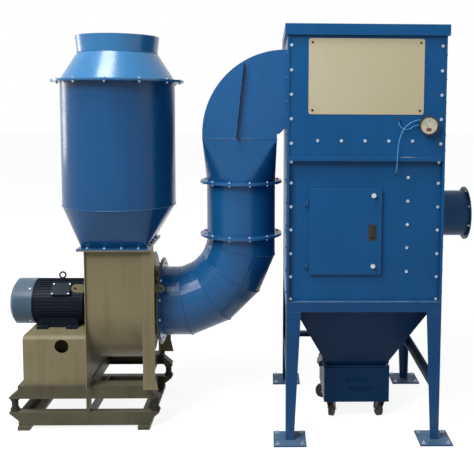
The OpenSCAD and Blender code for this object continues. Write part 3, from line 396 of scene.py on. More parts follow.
BLUE = CoatedSheet(
    "collector_blue", srgb(12, 79, 132), srgb(18, 88, 144), srgb(10, 52, 90), srgb(92, 130, 160),
    gloss=0.16, dust=0.22,
)
# A darker copy of the housing blue: the darkening is painted shade on the legs and base ring under the chamber; the
# extra dust low down is real dust on the foot plates.
LEG_SHADED_BLUE = CoatedSheet(
    "leg_blue_painted_shade", srgb(14, 68, 116), srgb(20, 76, 126), srgb(14, 46, 80), srgb(104, 132, 156),
    gloss=0.16, dust=0.7, low_dust=0.30, low_height=0.30,
)
DUCT_BLUE = CoatedSheet(
    "duct_blue", srgb(18, 86, 140), srgb(24, 94, 152), srgb(14, 58, 98), srgb(120, 160, 190),
    rough=0.24, coat=0.12, gloss=0.26, dust=0.06, ripple=0.16,
)
# A darker copy of the duct blue: the darkening is painted shade on the silencer body and its transition.
SILENCER_SHADED_BLUE = CoatedSheet(
    "silencer_blue_painted_shade", srgb(11, 76, 126), srgb(16, 84, 138), srgb(8, 50, 88), srgb(110, 150, 180),
    rough=0.24, coat=0.12, gloss=0.24, dust=0.05, ripple=0.16,
)
# A lighter copy of the duct blue: the lightening is painted light on the upward-tilted cone and collar of the silencer
# top.
CONE_LIT_BLUE = CoatedSheet(
    "cone_blue_painted_light", srgb(24, 106, 158), srgb(34, 116, 172), srgb(16, 70, 112), srgb(130, 170, 198),
    rough=0.27, coat=0.35, gloss=0.45, dust=0.06, ripple=0.16,
)
INLET_BLUE = CoatedSheet(
    "inlet_blue", srgb(16, 78, 124), srgb(22, 86, 136), srgb(10, 44, 76), srgb(90, 124, 150), gloss=0.2, dust=0.2,
)
# A darker copy of the housing blue: the darkening is painted shade on the downward-facing hopper, the bin and the
# parts under and beside them.
HOPPER_SHADED_BLUE = CoatedSheet(
    "hopper_blue_painted_shade", srgb(10, 49, 86), srgb(14, 57, 98), srgb(8, 34, 60), srgb(78, 104, 126), gloss=0.06, dust=0.10,
)
TAN = CoatedSheet(
    "fan_tan", srgb(124, 116, 86), srgb(134, 126, 96), srgb(92, 78, 54), srgb(172, 166, 138),
    rough=0.38, streaks=0.55, dust=0.18, low_dust=0.30, low_height=0.75, wear=0.5,
)
# A darker copy of the fan tan: the darkening is partly grime and partly painted shade on the frames under the fan.
FRAME_TAN_GRIME_AND_SHADE = CoatedSheet(
    "frame_tan_grime_and_painted_shade", srgb(76, 73, 57), srgb(88, 83, 65), srgb(50, 43, 32), srgb(134, 128, 106),
    rough=0.44, streaks=0.6, dust=0.25, low_dust=0.25, low_height=0.35, wear=0.6,
)
NAVY = CoatedSheet(
    "motor_navy", srgb(17, 25, 36), srgb(22, 32, 45), srgb(10, 13, 18), srgb(78, 90, 102),
    rough=0.42, coat=0.0, gloss=0.10, dust=0.15, wear=0.30, wear_width=0.002, ripple=0.02,
)
COWL = CoatedSheet(
    "cowl_blue_grey", srgb(62, 84, 104), srgb(72, 96, 116), srgb(40, 56, 72), srgb(158, 172, 182),
    rough=0.34, dust=0.18, wear=0.6, ripple=0.03,
)
PLATE = CoatedSheet(
    "plate_beige", srgb(192, 181, 150), srgb(198, 190, 164), srgb(178, 166, 136), srgb(210, 204, 184),
    rough=0.42, cloud=0.7, cloud_scale=1.4, streaks=0.12, wear=0.5, wear_width=0.002, ripple=0.03,
)
BLACK_PLATE = CoatedSheet(
    "castor_black_steel", srgb(22, 22, 25), srgb(30, 30, 34), srgb(40, 38, 36), srgb(96, 96, 98),
    rough=0.45, dust=0.4, wear=0.4, wear_width=0.002, ripple=0.0,
)
ZINC = BareMetal("bolt_zinc", srgb(186, 200, 212), srgb(104, 120, 136), rough=0.34, metallic=0.75)
CHROME = BareMetal("latch_chrome", srgb(205, 207, 210), srgb(120, 122, 126), rough=0.16, stain_share=0.25)
BEZEL = BareMetal("bezel_bronze", srgb(70, 64, 60), srgb(38, 34, 32), rough=0.30, metallic=0.6)
HOOK = BareMetal("clamp_bright", srgb(150, 152, 154), srgb(88, 84, 80), rough=0.32, stain_share=0.5)
BLACK = Moulded("pull_black", srgb(14, 14, 16), srgb(60, 60, 62), rough=0.42, dust_share=0.2)
RUBBER = Moulded("tyre_rubber", srgb(20, 20, 21), srgb(84, 80, 74), rough=0.72, dust_share=0.5, grain=0.25)
PAD = Moulded("isolator_rubber", srgb(16, 16, 17), srgb(76, 70, 62), rough=0.78, dust_share=0.5, grain=0.2)
TUBE = Moulded("gauge_tube_blue", srgb(72, 146, 200), srgb(120, 180, 220), rough=0.26, dust_share=0.35, grain=0.02)
DIAL = Moulded("dial_cream", srgb(206, 200, 180), srgb(176, 168, 146), rough=0.5, dust_share=0.3, grain=0.02)
INK = Moulded("dial_ink", srgb(28, 26, 26), srgb(48, 44, 42), rough=0.5, dust_share=0.1, grain=0.02)
FLAG = Moulded("dial_window_red", srgb(112, 62, 54), srgb(88, 48, 44), rough=0.5, dust_share=0.2, grain=0.02)
GRIP = Moulded("grip_oxide_red", srgb(118, 54, 42), srgb(60, 34, 30), rough=0.55, dust_share=0.5, grain=0.1)
SEAL = Moulded("door_seal", srgb(24, 24, 26), srgb(70, 68, 64), rough=0.8, dust_share=0.4, grain=0.3)
SMEAR = Moulded("sealant_smear", srgb(204, 200, 160), srgb(160, 160, 140), rough=0.8, dust_share=0.6, grain=0.3)
PAPER = PleatedPaper("filter_paper", srgb(214, 210, 198), srgb(150, 142, 126))


class Finishes:
    """Builds each finish once and hands it out again."""

    def __init__(self) -> None:
        """Start with nothing made."""
        self.made: dict[str, bpy.types.Material] = {}

    def get(self, finish: CoatedSheet | BareMetal | Moulded | PleatedPaper) -> bpy.types.Material:
        """Return the material of a finish."""
        if finish.name not in self.made:
            self.made[finish.name] = finish.build()
        return self.made[finish.name]

    def dress(self, nodes: dict[str, bpy.types.Object], finish: CoatedSheet | BareMetal | Moulded | PleatedPaper,
              *names: str) -> None:
        """Give named frame nodes a finish through their material slots.

        Args:
            nodes: The frame's nodes.
            finish: The finish they take.
            *names: The nodes' names.
        """
        for name in names:
            slots = nodes[name].data.materials
            if not slots:
                slots.append(self.get(finish))
            for place in range(len(slots)):
                slots[place] = self.get(finish)


def plain_mesh(name: str, points: Sequence[Point], faces: Sequence[Sequence[int]] = (),
               edges: Sequence[tuple[int, int]] = ()) -> bpy.types.Object:
    """Make and link a mesh object at the origin.

    Args:
        name: Name of the object.
        points: Vertices in metres.
        faces: Faces as vertex numbers.
        edges: Loose edges.

    Returns:
        The object.
    """
    mesh = bpy.data.meshes.new(name)
    mesh.from_pydata([tuple(p) for p in points], list(edges), [list(f) for f in faces])
    made = bpy.data.objects.new(name, mesh)
    bpy.context.scene.collection.objects.link(made)
    return made


def finish_piece(piece: bpy.types.Object, material: bpy.types.Material, body: str = ROOT,
                 smooth_angle: Optional[float] = 40.0) -> bpy.types.Object:
    """Give a piece its material, shading and body.

    Args:
        piece: The piece.
        material: What it is made of.
        body: The body that carries it.
        smooth_angle: Largest angle in degrees that is shaded smooth, or None for flat.

    Returns:
        The piece.
    """
    if not piece.data.materials:
        piece.data.materials.append(material)
    if smooth_angle is not None:
        piece.data.shade_smooth()
        piece.data.set_sharp_from_angle(angle=math.radians(smooth_angle))
    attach(piece, body)
    return piece


def bake_modifier(host: bpy.types.Object, modifier: bpy.types.NodesModifier) -> bpy.types.Object:
    """Turn the evaluated result of a node tree into the object's own mesh.

    Args:
        host: The object that carries the tree.
        modifier: The tree's modifier.

    Returns:
        The same object with a plain mesh.
    """
    bpy.context.view_layer.update()
    graph = bpy.context.evaluated_depsgraph_get()
    result = bpy.data.meshes.new_from_object(host.evaluated_get(graph), depsgraph=graph)
    result.name = host.name
    host.modifiers.remove(modifier)
    old = host.data
    host.data = result
    bpy.data.meshes.remove(old)
    return host


class RepeatTree:
    """Geometry Nodes tree that sets one small part on every seat of a mesh."""

    def __init__(self, head: Head, seed: int = 7) -> None:
        """Build the tree for one kind of part.

        Args:
            head: The kind of part.
            seed: Seed of the small random turns.
        """
        self.head = head
        self.tree = bpy.data.node_groups.new("repeat_" + head.name.lower(), "GeometryNodeTree")
        self.wiring = Wiring(self.tree)
        face = self.tree.interface
        face.new_socket(name="Seats", in_out="INPUT", socket_type="NodeSocketGeometry")
        self.inputs: dict[str, bpy.types.NodeTreeInterfaceSocket] = {}
        for name, value in (("Width", 0.012), ("Height", 0.006), ("Base Width", 0.016), ("Base Height", 0.0015)):
            socket = face.new_socket(name=name, in_out="INPUT", socket_type="NodeSocketFloat")
            socket.default_value = value
            self.inputs[name] = socket
        self.inputs["Material"] = face.new_socket(name="Material", in_out="INPUT", socket_type="NodeSocketMaterial")
        face.new_socket(name="Parts", in_out="OUTPUT", socket_type="NodeSocketGeometry")
        self.start = self.wiring.add("NodeGroupInput")
        self.wire(seed)

    def bar(self, kind: str, segments: int, width: bpy.types.NodeSocket, top_share: float,
            height: bpy.types.NodeSocket, base: Optional[bpy.types.NodeSocket]) -> bpy.types.NodeSocket:
        """Add one round or six-sided block standing on its seat.

        Args:
            kind: "cone" for a block, "ball" for a dome.
            segments: Sides round it.
            width: Socket with its half width.
            top_share: Width of its top as a share of its foot.
            height: Socket with its height.
            base: Socket with the height that it starts at, or None for the seat.

        Returns:
            The geometry socket.
        """
        wiring = self.wiring
        move = wiring.add("GeometryNodeTransform")
        lift = wiring.add("ShaderNodeCombineXYZ")
        if kind == "ball":
            block = wiring.put(wiring.add("GeometryNodeMeshUVSphere"), Segments=segments, Rings=6)
            wiring.join(width, block.inputs["Radius"])
            squash = wiring.add("ShaderNodeCombineXYZ")
            squash.inputs[0].default_value = squash.inputs[1].default_value = 1.0
            wiring.join(wiring.math("DIVIDE", height, width), squash.inputs[2])
            wiring.join(squash.outputs[0], move.inputs["Scale"])
        else:
            block = wiring.put(wiring.add("GeometryNodeMeshCone"), Vertices=segments)
            wiring.join(wiring.math("MULTIPLY", width, top_share), block.inputs["Radius Top"])
            wiring.join(width, block.inputs["Radius Bottom"])
            wiring.join(height, block.inputs["Depth"])
        if base is not None:
            wiring.join(base, lift.inputs[2])
        wiring.join(lift.outputs[0], move.inputs["Translation"])
        wiring.join(block.outputs["Mesh"], move.inputs["Geometry"])
        return move.outputs[0]

    def wire(self, seed: int) -> None:
        """Wire the part, its seats, the turns and the material.

        Args:
            seed: Seed of the small random turns.
        """
        wiring, start = self.wiring, self.start
        width, height = start.outputs["Width"], start.outputs["Height"]
        base_w, base_h = start.outputs["Base Width"], start.outputs["Base Height"]
        gather = wiring.add("GeometryNodeJoinGeometry")
        if self.head in (Head.HEX, Head.NUT):
            wiring.join(self.bar("cone", 16, base_w, 0.97, base_h, None), gather.inputs[0])
            wiring.join(self.bar("cone", 6, width, 0.93, height, base_h), gather.inputs[0])
        if self.head is Head.NUT:
            top = wiring.math("ADD", base_h, height)
            wiring.join(self.bar("cone", 10, wiring.math("MULTIPLY", width, 0.55), 0.85,
                                 wiring.math("MULTIPLY", height, 0.7), top), gather.inputs[0])
        if self.head is Head.DOME:
            wiring.join(self.bar("cone", 16, base_w, 0.96, base_h, None), gather.inputs[0])
            wiring.join(self.bar("ball", 12, width, 1.0, height, base_h), gather.inputs[0])
        if self.head is Head.RIB:
            block = wiring.add("GeometryNodeMeshCube")
            size = wiring.add("ShaderNodeCombineXYZ")
            for place, socket in enumerate((width, base_w, height)):
                wiring.join(socket, size.inputs[place])
            wiring.join(size.outputs[0], block.inputs["Size"])
            wiring.join(block.outputs["Mesh"], gather.inputs[0])
        turn = wiring.add("GeometryNodeInputNamedAttribute", data_type="FLOAT_VECTOR")
        turn.inputs["Name"].default_value = "turn"
        as_turn = wiring.add("FunctionNodeEulerToRotation")
        wiring.join(turn.outputs[0], as_turn.inputs[0])
        rotation = as_turn.outputs[0]
        if self.head is not Head.RIB:
            chance = wiring.add("FunctionNodeRandomValue", data_type="FLOAT")
            chance.inputs["Min"].default_value = 0.0
            for socket in chance.inputs:
                if socket.name == "Max" and socket.type == "VALUE":
                    socket.default_value = math.tau
                if socket.name == "Seed":
                    socket.default_value = seed
            spin = wiring.add("ShaderNodeCombineXYZ")
            for socket in chance.outputs:
                if socket.type == "VALUE" and socket.enabled:
                    wiring.join(socket, spin.inputs[2])
            own = wiring.add("FunctionNodeEulerToRotation")
            wiring.join(spin.outputs[0], own.inputs[0])
            both = wiring.add("FunctionNodeRotateRotation", rotation_space="LOCAL")
            wiring.join(rotation, both.inputs[0])
            wiring.join(own.outputs[0], both.inputs[1])
            rotation = both.outputs[0]
        place = wiring.add("GeometryNodeInstanceOnPoints")
        wiring.join(start.outputs["Seats"], place.inputs["Points"])
        wiring.join(gather.outputs[0], place.inputs["Instance"])
        wiring.join(rotation, place.inputs["Rotation"])
        real = wiring.add("GeometryNodeRealizeInstances")
        paint = wiring.add("GeometryNodeSetMaterial")
        end = wiring.add("NodeGroupOutput")
        wiring.join(place.outputs[0], real.inputs[0])
        wiring.join(real.outputs[0], paint.inputs["Geometry"])
        wiring.join(start.outputs["Material"], paint.inputs["Material"])
        wiring.join(paint.outputs[0], end.inputs[0])


class BeadTree:
    """Geometry Nodes tree that lays a weld bead or wire along every line."""

    def __init__(self) -> None:
        """Build the tree."""
        self.tree = bpy.data.node_groups.new("bead_along_lines", "GeometryNodeTree")
        wiring = Wiring(self.tree)
        face = self.tree.interface
        face.new_socket(name="Lines", in_out="INPUT", socket_type="NodeSocketGeometry")
        self.inputs: dict[str, bpy.types.NodeTreeInterfaceSocket] = {}
        for name, kind, value in (("Radius", "NodeSocketFloat", 0.002), ("Sides", "NodeSocketInt", 6)):
            self.inputs[name] = face.new_socket(name=name, in_out="INPUT", socket_type=kind)
            self.inputs[name].default_value = value
        self.inputs["Material"] = face.new_socket(name="Material", in_out="INPUT", socket_type="NodeSocketMaterial")
        face.new_socket(name="Bead", in_out="OUTPUT", socket_type="NodeSocketGeometry")
        start = wiring.add("NodeGroupInput")
        line = wiring.add("GeometryNodeMeshToCurve")
        ring = wiring.add("GeometryNodeCurvePrimitiveCircle", mode="RADIUS")
        sweep = wiring.add("GeometryNodeCurveToMesh")
        real = wiring.add("GeometryNodeRealizeInstances")
        paint = wiring.add("GeometryNodeSetMaterial")
        end = wiring.add("NodeGroupOutput")
        wiring.join(start.outputs["Lines"], line.inputs["Mesh"])
        wiring.join(start.outputs["Radius"], ring.inputs["Radius"])
        wiring.join(start.outputs["Sides"], ring.inputs["Resolution"])
        wiring.join(line.outputs[0], sweep.inputs["Curve"])
        wiring.join(ring.outputs[0], sweep.inputs["Profile Curve"])
        sweep.inputs["Fill Caps"].default_value = True
        wiring.join(sweep.outputs[0], real.inputs[0])
        wiring.join(real.outputs[0], paint.inputs["Geometry"])
        wiring.join(start.outputs["Material"], paint.inputs["Material"])
        wiring.join(paint.outputs[0], end.inputs[0])


@dataclass
class Seat:
    """Where one repeated part sits and which way it faces."""

    at: Point
    facing: Point = (0.0, -1.0, 0.0)
    side: Optional[Point] = None

    def turn(self) -> Point:
        """Euler angles that bring Z on to the facing and X on to the side."""
        facing = Vector(self.facing).normalized()
        if self.side is None:
            euler = facing.to_track_quat("Z", "Y").to_euler()
        else:
            across = Vector(self.side).normalized()
            rows = Matrix((across, facing.cross(across), facing))
            euler = rows.transposed().to_euler()
        return (euler.x, euler.y, euler.z)


class Maker:
    """Shared tools of the sub-assemblies: trees, finishes and simple solids."""

    def __init__(self, frame: dict[str, object]) -> None:
        """Keep the frame and make the trees.
        """
        self.nodes: dict[str, bpy.types.Object] = frame["nodes"]  # type: ignore[assignment]
        self.finishes = Finishes()
        self.repeat = {head: RepeatTree(head) for head in Head}
        self.bead = BeadTree()

    def field(self, name: str, head: Head, seats: Iterable[Seat], size: tuple[float, float, float, float],
              finish: CoatedSheet | BareMetal | Moulded, body: str = ROOT,
              smooth_angle: Optional[float] = 35.0) -> bpy.types.Object:
        """Repeat a small part over its seats as one mesh.

        Args:
            name: Name of the piece.
            head: Kind of part.
            seats: Where the parts sit.
            size: Half width, height, half width of the base, height of the base.
            finish: Its finish.
            body: The body that carries it.
            smooth_angle: Largest angle that is shaded smooth.

        Returns:
            The piece.
        """
        places = list(seats)
        host = plain_mesh(name, [seat.at for seat in places])
        turns = host.data.attributes.new("turn", "FLOAT_VECTOR", "POINT")
        for number, seat in enumerate(places):
            turns.data[number].vector = seat.turn()
        kit = self.repeat[head]
        modifier = host.modifiers.new("repeat", "NODES")
        modifier.node_group = kit.tree
        for label, value in zip(("Width", "Height", "Base Width", "Base Height"), size):
            modifier[kit.inputs[label].identifier] = value
        modifier[kit.inputs["Material"].identifier] = self.finishes.get(finish)
        bake_modifier(host, modifier)
        LOG.info("%s: %d parts, %d faces", name, len(places), len(host.data.polygons))
        return finish_piece(host, self.finishes.get(finish), body, smooth_angle)

    def beads(self, name: str, lines: Sequence[Sequence[Point]], radius: float,
              finish: CoatedSheet | BareMetal | Moulded, body: str = ROOT, closed: bool = True,
              sides: int = 6) -> bpy.types.Object:
        """Lay a bead or wire along lines.

        Args:
            name: Name of the piece.
            lines: The lines.
            radius: Half thickness.
            finish: Its finish.
            body: The body that carries it.
            closed: Whether each line returns to its start.
            sides: Sides round the bead.

        Returns:
            The piece.
        """
        points: list[Point] = []
        edges: list[tuple[int, int]] = []
        for line in lines:
            first = len(points)
            points.extend(line)
            edges.extend((first + i, first + i + 1) for i in range(len(line) - 1))
            if closed:
                edges.append((first + len(line) - 1, first))
        host = plain_mesh(name, points, edges=edges)
        modifier = host.modifiers.new("bead", "NODES")
        modifier.node_group = self.bead.tree
        modifier[self.bead.inputs["Radius"].identifier] = radius
        modifier[self.bead.inputs["Sides"].identifier] = sides
        modifier[self.bead.inputs["Material"].identifier] = self.finishes.get(finish)
        bake_modifier(host, modifier)
        LOG.info("%s: %d lines, %d faces", name, len(lines), len(host.data.polygons))
        return finish_piece(host, self.finishes.get(finish), body, 70.0)

    def turned(self, name: str, profile: Sequence[tuple[float, float]], at: Point, axis: Point,
               finish: CoatedSheet | BareMetal | Moulded, body: str = ROOT,
               sides: int = 48) -> bpy.types.Object:
        """Turn a closed profile round an axis.

        Args:
            name: Name of the piece.
            profile: Pairs of radius and height along the axis, from pole to pole or closed.
            at: The foot of the axis.
            axis: Its direction.
            finish: Its finish.
            body: The body that carries it.
            sides: Segments round the axis.

        Returns:
            The piece.
        """
        shape = bmesh.new()
        turn = Vector(axis).normalized().to_track_quat("Z", "Y").to_matrix().to_4x4()
        rings = []
        for radius, height in profile:
            count = 1 if radius < 1e-6 else sides
            rings.append([
                shape.verts.new((radius * math.cos(math.tau * i / sides), radius * math.sin(math.tau * i / sides),
                                 height)) for i in range(count)
            ])
        loop = len(rings[0]) > 1
        pairs = list(zip(rings, rings[1:])) + ([(rings[-1], rings[0])] if loop else [])
        for low, high in pairs:
            for i in range(sides):
                corners = [low[i % len(low)], low[(i + 1) % len(low)], high[(i + 1) % len(high)], high[i % len(high)]]
                keep = [v for n, v in enumerate(corners) if v not in corners[:n]]
                if len(keep) > 2:
                    shape.faces.new(keep)
        bmesh.ops.recalc_face_normals(shape, faces=shape.faces)
        shape.transform(Matrix.Translation(Vector(at)) @ turn)
        mesh = bpy.data.meshes.new(name)
        shape.to_mesh(mesh)
        shape.free()
        made = bpy.data.objects.new(name, mesh)
        bpy.context.scene.collection.objects.link(made)
        LOG.info("%s: turned, %d faces", name, len(mesh.polygons))
        return finish_piece(made, self.finishes.get(finish), body, 35.0)

    def block(self, name: str, low: Point, high: Point, finish: CoatedSheet | BareMetal | Moulded, slot: str,
              body: str = ROOT, round_off: float = 0.0015, shape: Optional[Callable[[Vector], Vector]] = None
              ) -> bpy.types.Object:
        """Make a block with rounded edges between two corners.

        Args:
            name: Name of the piece.
            low: Lowest corner.
            high: Highest corner.
            finish: Its finish.
            slot: Not used.
            body: The body that carries it.
            round_off: Radius of its edges.
            shape: Optional move of each vertex before the edges are rounded.

        Returns:
            The piece.
        """
        box = bmesh.new()
        bmesh.ops.create_cube(box, size=1.0)
        middle = (Vector(low) + Vector(high)) / 2
        span = Vector(high) - Vector(low)
        for vertex in box.verts:
            vertex.co = Vector([middle[i] + vertex.co[i] * span[i] for i in range(3)])
            if shape is not None:
                vertex.co = shape(vertex.co)
        bmesh.ops.bevel(box, geom=list(box.edges), offset=round_off, segments=2, affect="EDGES", profile=0.7)
        mesh = bpy.data.meshes.new(name)
        box.to_mesh(mesh)
        box.free()
        made = bpy.data.objects.new(name, mesh)
        bpy.context.scene.collection.objects.link(made)
        return finish_piece(made, self.finishes.get(finish), body, 35.0)


def circle(centre: Point, radius: float, axis: str = "z", count: int = 48, start: float = 0.0) -> list[Point]:
    """Points round a circle.

    Args:
        centre: Its centre.
        radius: Its radius.
        axis: The axis it lies square to.
        count: How many points.
        start: Angle of the first point, in turns of the spacing.

    Returns:
        The points.
    """
    made: list[Point] = []
    for i in range(count):
        angle = math.tau * (i + start) / count
        a, b = radius * math.cos(angle), radius * math.sin(angle)
        x, y, z = centre
        made.append({"z": (x + a, y + b, z), "x": (x, y + a, z + b), "y": (x + a, y, z + b)}[axis])
    return made


@dataclass
class Studio:
    """Camera at the photograph's angle, pale floor and plain soft light."""

    image: tuple[int, int] = (474, 467)
    focal_px: float = 710.34
    centre_px: tuple[float, float] = (286.77, 169.60)
    pitch: float = 0.0841
    yaw: float = -0.0242
    roll: float = 0.0054
    station: Point = (0.2011, -5.0051, 2.1522)
    floor_half: float = 60.0

    def camera(self) -> None:
        """Set the camera where the photograph was taken from."""
        ahead = Vector((-math.sin(self.yaw) * math.cos(self.pitch), math.cos(self.yaw) * math.cos(self.pitch),
                        -math.sin(self.pitch)))
        right = Vector((math.cos(self.yaw), math.sin(self.yaw), 0.0))
        up = right.cross(ahead)
        turned_right = math.cos(self.roll) * right + math.sin(self.roll) * up
        turned_up = -math.sin(self.roll) * right + math.cos(self.roll) * up
        data = bpy.data.cameras.new("photo_camera")
        width, height = self.image
        data.sensor_width = 36.0
        data.lens = self.focal_px * data.sensor_width / width
        data.shift_x = (width / 2 - self.centre_px[0]) / width
        data.shift_y = (self.centre_px[1] - height / 2) / width
        data.clip_end = 200.0
        camera = bpy.data.objects.new("photo_camera", data)
        bpy.context.scene.collection.objects.link(camera)
        rows = Matrix((turned_right, turned_up, -ahead)).transposed().to_4x4()
        camera.matrix_world = Matrix.Translation(Vector(self.station)) @ rows
        bpy.context.scene.camera = camera

    def seen(self, wiring: Wiring, path: bpy.types.Node) -> bpy.types.NodeSocket:
        """Tell whether a ray comes straight from the camera, a gloss or a glass."""
        direct = wiring.math("MAXIMUM", path.outputs["Is Camera Ray"], path.outputs["Is Glossy Ray"])
        return wiring.math("MAXIMUM", direct, path.outputs["Is Transmission Ray"])

    def floor(self) -> None:
        """Lay a pale floor that keeps the shadow and shows white to the camera."""
        h = self.floor_half
        floor = plain_mesh("studio_floor", [(-h, -h, 0), (h, -h, 0), (h, h, 0), (-h, h, 0)], [(0, 1, 2, 3)])
        made = bpy.data.materials.new("studio_floor_pale")
        made.use_nodes = True
        wiring = Wiring(made.node_tree)
        shader = made.node_tree.nodes["Principled BSDF"]
        shader.inputs["Base Color"].default_value = (0.32, 0.32, 0.32, 1.0)
        shader.inputs["Roughness"].default_value = 0.95
        shader.inputs["Specular IOR Level"].default_value = 0.0
        path = wiring.add("ShaderNodeLightPath")
        glow = wiring.add("ShaderNodeEmission")
        wiring.join(wiring.math("MULTIPLY", self.seen(wiring, path), 0.88), glow.inputs["Strength"])
        total = wiring.add("ShaderNodeAddShader")
        wiring.join(shader.outputs[0], total.inputs[0])
        wiring.join(glow.outputs[0], total.inputs[1])
        wiring.join(total.outputs[0], made.node_tree.nodes["Material Output"].inputs["Surface"])
        floor.data.materials.append(made)

    def world(self) -> None:
        """Even grey light, white where the camera and reflections look at it."""
        world = bpy.data.worlds.new("studio_world")
        world.use_nodes = True
        bpy.context.scene.world = world
        wiring = Wiring(world.node_tree)
        tree = world.node_tree
        sky = tree.nodes["Background"]
        sky.inputs["Color"].default_value = (0.95, 0.97, 1.0, 1.0)
        sky.inputs["Strength"].default_value = 0.30
        white = wiring.add("ShaderNodeBackground")
        white.inputs["Color"].default_value = (1.0, 1.0, 1.0, 1.0)
        white.inputs["Strength"].default_value = 1.0
        path = wiring.add("ShaderNodeLightPath")
        mix = wiring.add("ShaderNodeMixShader")
        wiring.join(self.seen(wiring, path), mix.inputs[0])
        wiring.join(sky.outputs[0], mix.inputs[1])
        wiring.join(white.outputs[0], mix.inputs[2])
        wiring.join(mix.outputs[0], tree.nodes["World Output"].inputs["Surface"])

    def lamp(self, name: str, at: Point, aim: Point, size: float, watts: float, tint: Colour = (1, 1, 1)) -> None:
        """Hang a square soft lamp.

        Args:
            name: Its name.
            at: Its place.
            aim: The point it faces.
            size: Edge of its square.
            watts: Its power.
            tint: Its colour.
        """
        data = bpy.data.lights.new(name, "AREA")
        data.size = size
        data.energy = watts
        data.color = tint
        lamp = bpy.data.objects.new(name, data)
        bpy.context.scene.collection.objects.link(lamp)
        lamp.location = at
        lamp.rotation_euler = (Vector(aim) - Vector(at)).to_track_quat("-Z", "Y").to_euler()

    def build(self) -> None:
        """Set up the whole studio."""
        self.camera()
        self.floor()
        self.world()
        self.lamp("key_lamp", (-3.2, -5.2, 6.2), (0.0, 0.0, 1.2), 3.0, 380.0, (1.0, 0.985, 0.96))
        self.lamp("top_lamp", (-1.9, -2.1, 7.0), (-0.4, 0.0, 1.5), 2.0, 210.0, (0.95, 0.98, 1.0))
        self.lamp("rim_lamp", (-5.6, 2.4, 2.2), (-0.8, -0.1, 1.8), 1.4, 38.0)
        self.lamp("side_lamp", (5.6, -3.0, 3.6), (0.4, 0.0, 1.2), 3.0, 16.0)
        for setting, value in (("view_transform", "Standard"),):
            setattr(bpy.context.scene.view_settings, setting, value)
        LOG.info("studio ready")


@dataclass
class GaugeTubing:
    """The two plastic tubes between the gauge and the panel fittings."""

    diameter: float = 0.006
    high: Sequence[Point] = (
        (1.149, -0.566, 2.092), (1.141, -0.566, 2.092), (1.120, -0.567, 2.090), (1.083, -0.569, 2.074),
        (1.046, -0.571, 2.042), (1.022, -0.571, 1.996), (1.010, -0.571, 1.944), (1.005, -0.571, 1.890),
        (1.003, -0.571, 1.842), (1.002, -0.569, 1.812), (1.001, -0.562, 1.785), (1.000, -0.550, 1.765),
        (0.999, -0.536, 1.755), (0.999, -0.523, 1.755),
    )
    low: Sequence[Point] = (
        (1.135, -0.562, 2.060), (1.128, -0.562, 2.060), (1.106, -0.561, 2.055), (1.086, -0.559, 2.040),
        (1.066, -0.557, 2.033), (1.044, -0.556, 2.036), (1.026, -0.555, 2.047), (1.015, -0.554, 2.062),
        (1.013, -0.554, 2.078), (1.013, -0.554, 2.084),
    )

    def smooth(self, route: Sequence[Point], steps: int = 5) -> list[Vector]:
        """Pass a smooth curve through the points of a route.

        Args:
            route: The points.
            steps: Points for each span.

        Returns:
            The denser route.
        """
        p = [Vector(q) for q in route]
        made: list[Vector] = []
        for i in range(len(p) - 1):
            a, b, c, d = p[max(i - 1, 0)], p[i], p[i + 1], p[min(i + 2, len(p) - 1)]
            for k in range(steps):
                t = k / steps
                made.append(0.5 * (2 * b + (c - a) * t + (2 * a - 5 * b + 4 * c - d) * t * t
                                   + (3 * b - a - 3 * c + d) * t * t * t))
        made.append(p[-1])
        return made

    def tube(self, maker: Maker, name: str, node: str, route: Sequence[Point]) -> None:
        """Args:
            maker: The shared tools.
            name: Name of the piece.
            node: The frame node that it replaces.
            route: The points it follows.
        """
        line = self.smooth(route)
        curve = bpy.data.curves.new(name, "CURVE")
        curve.dimensions = "3D"
        curve.bevel_depth = self.diameter / 2
        curve.bevel_resolution = 3
        curve.use_fill_caps = True
        spline = curve.splines.new("POLY")
        spline.points.add(len(line) - 1)
        for point, where in zip(spline.points, line):
            point.co = (*where, 1.0)
        piece = bpy.data.objects.new(name, curve)
        bpy.context.scene.collection.objects.link(piece)
        curve.materials.append(maker.finishes.get(TUBE))
        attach(piece, ROOT)
        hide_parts(node)

    def build(self, maker: Maker) -> None:
        """Make both tubes."""
        self.tube(maker, "high_pressure_tube", "gauge_tube_high", self.high)
        self.tube(maker, "low_pressure_tube", "gauge_tube_low", self.low)


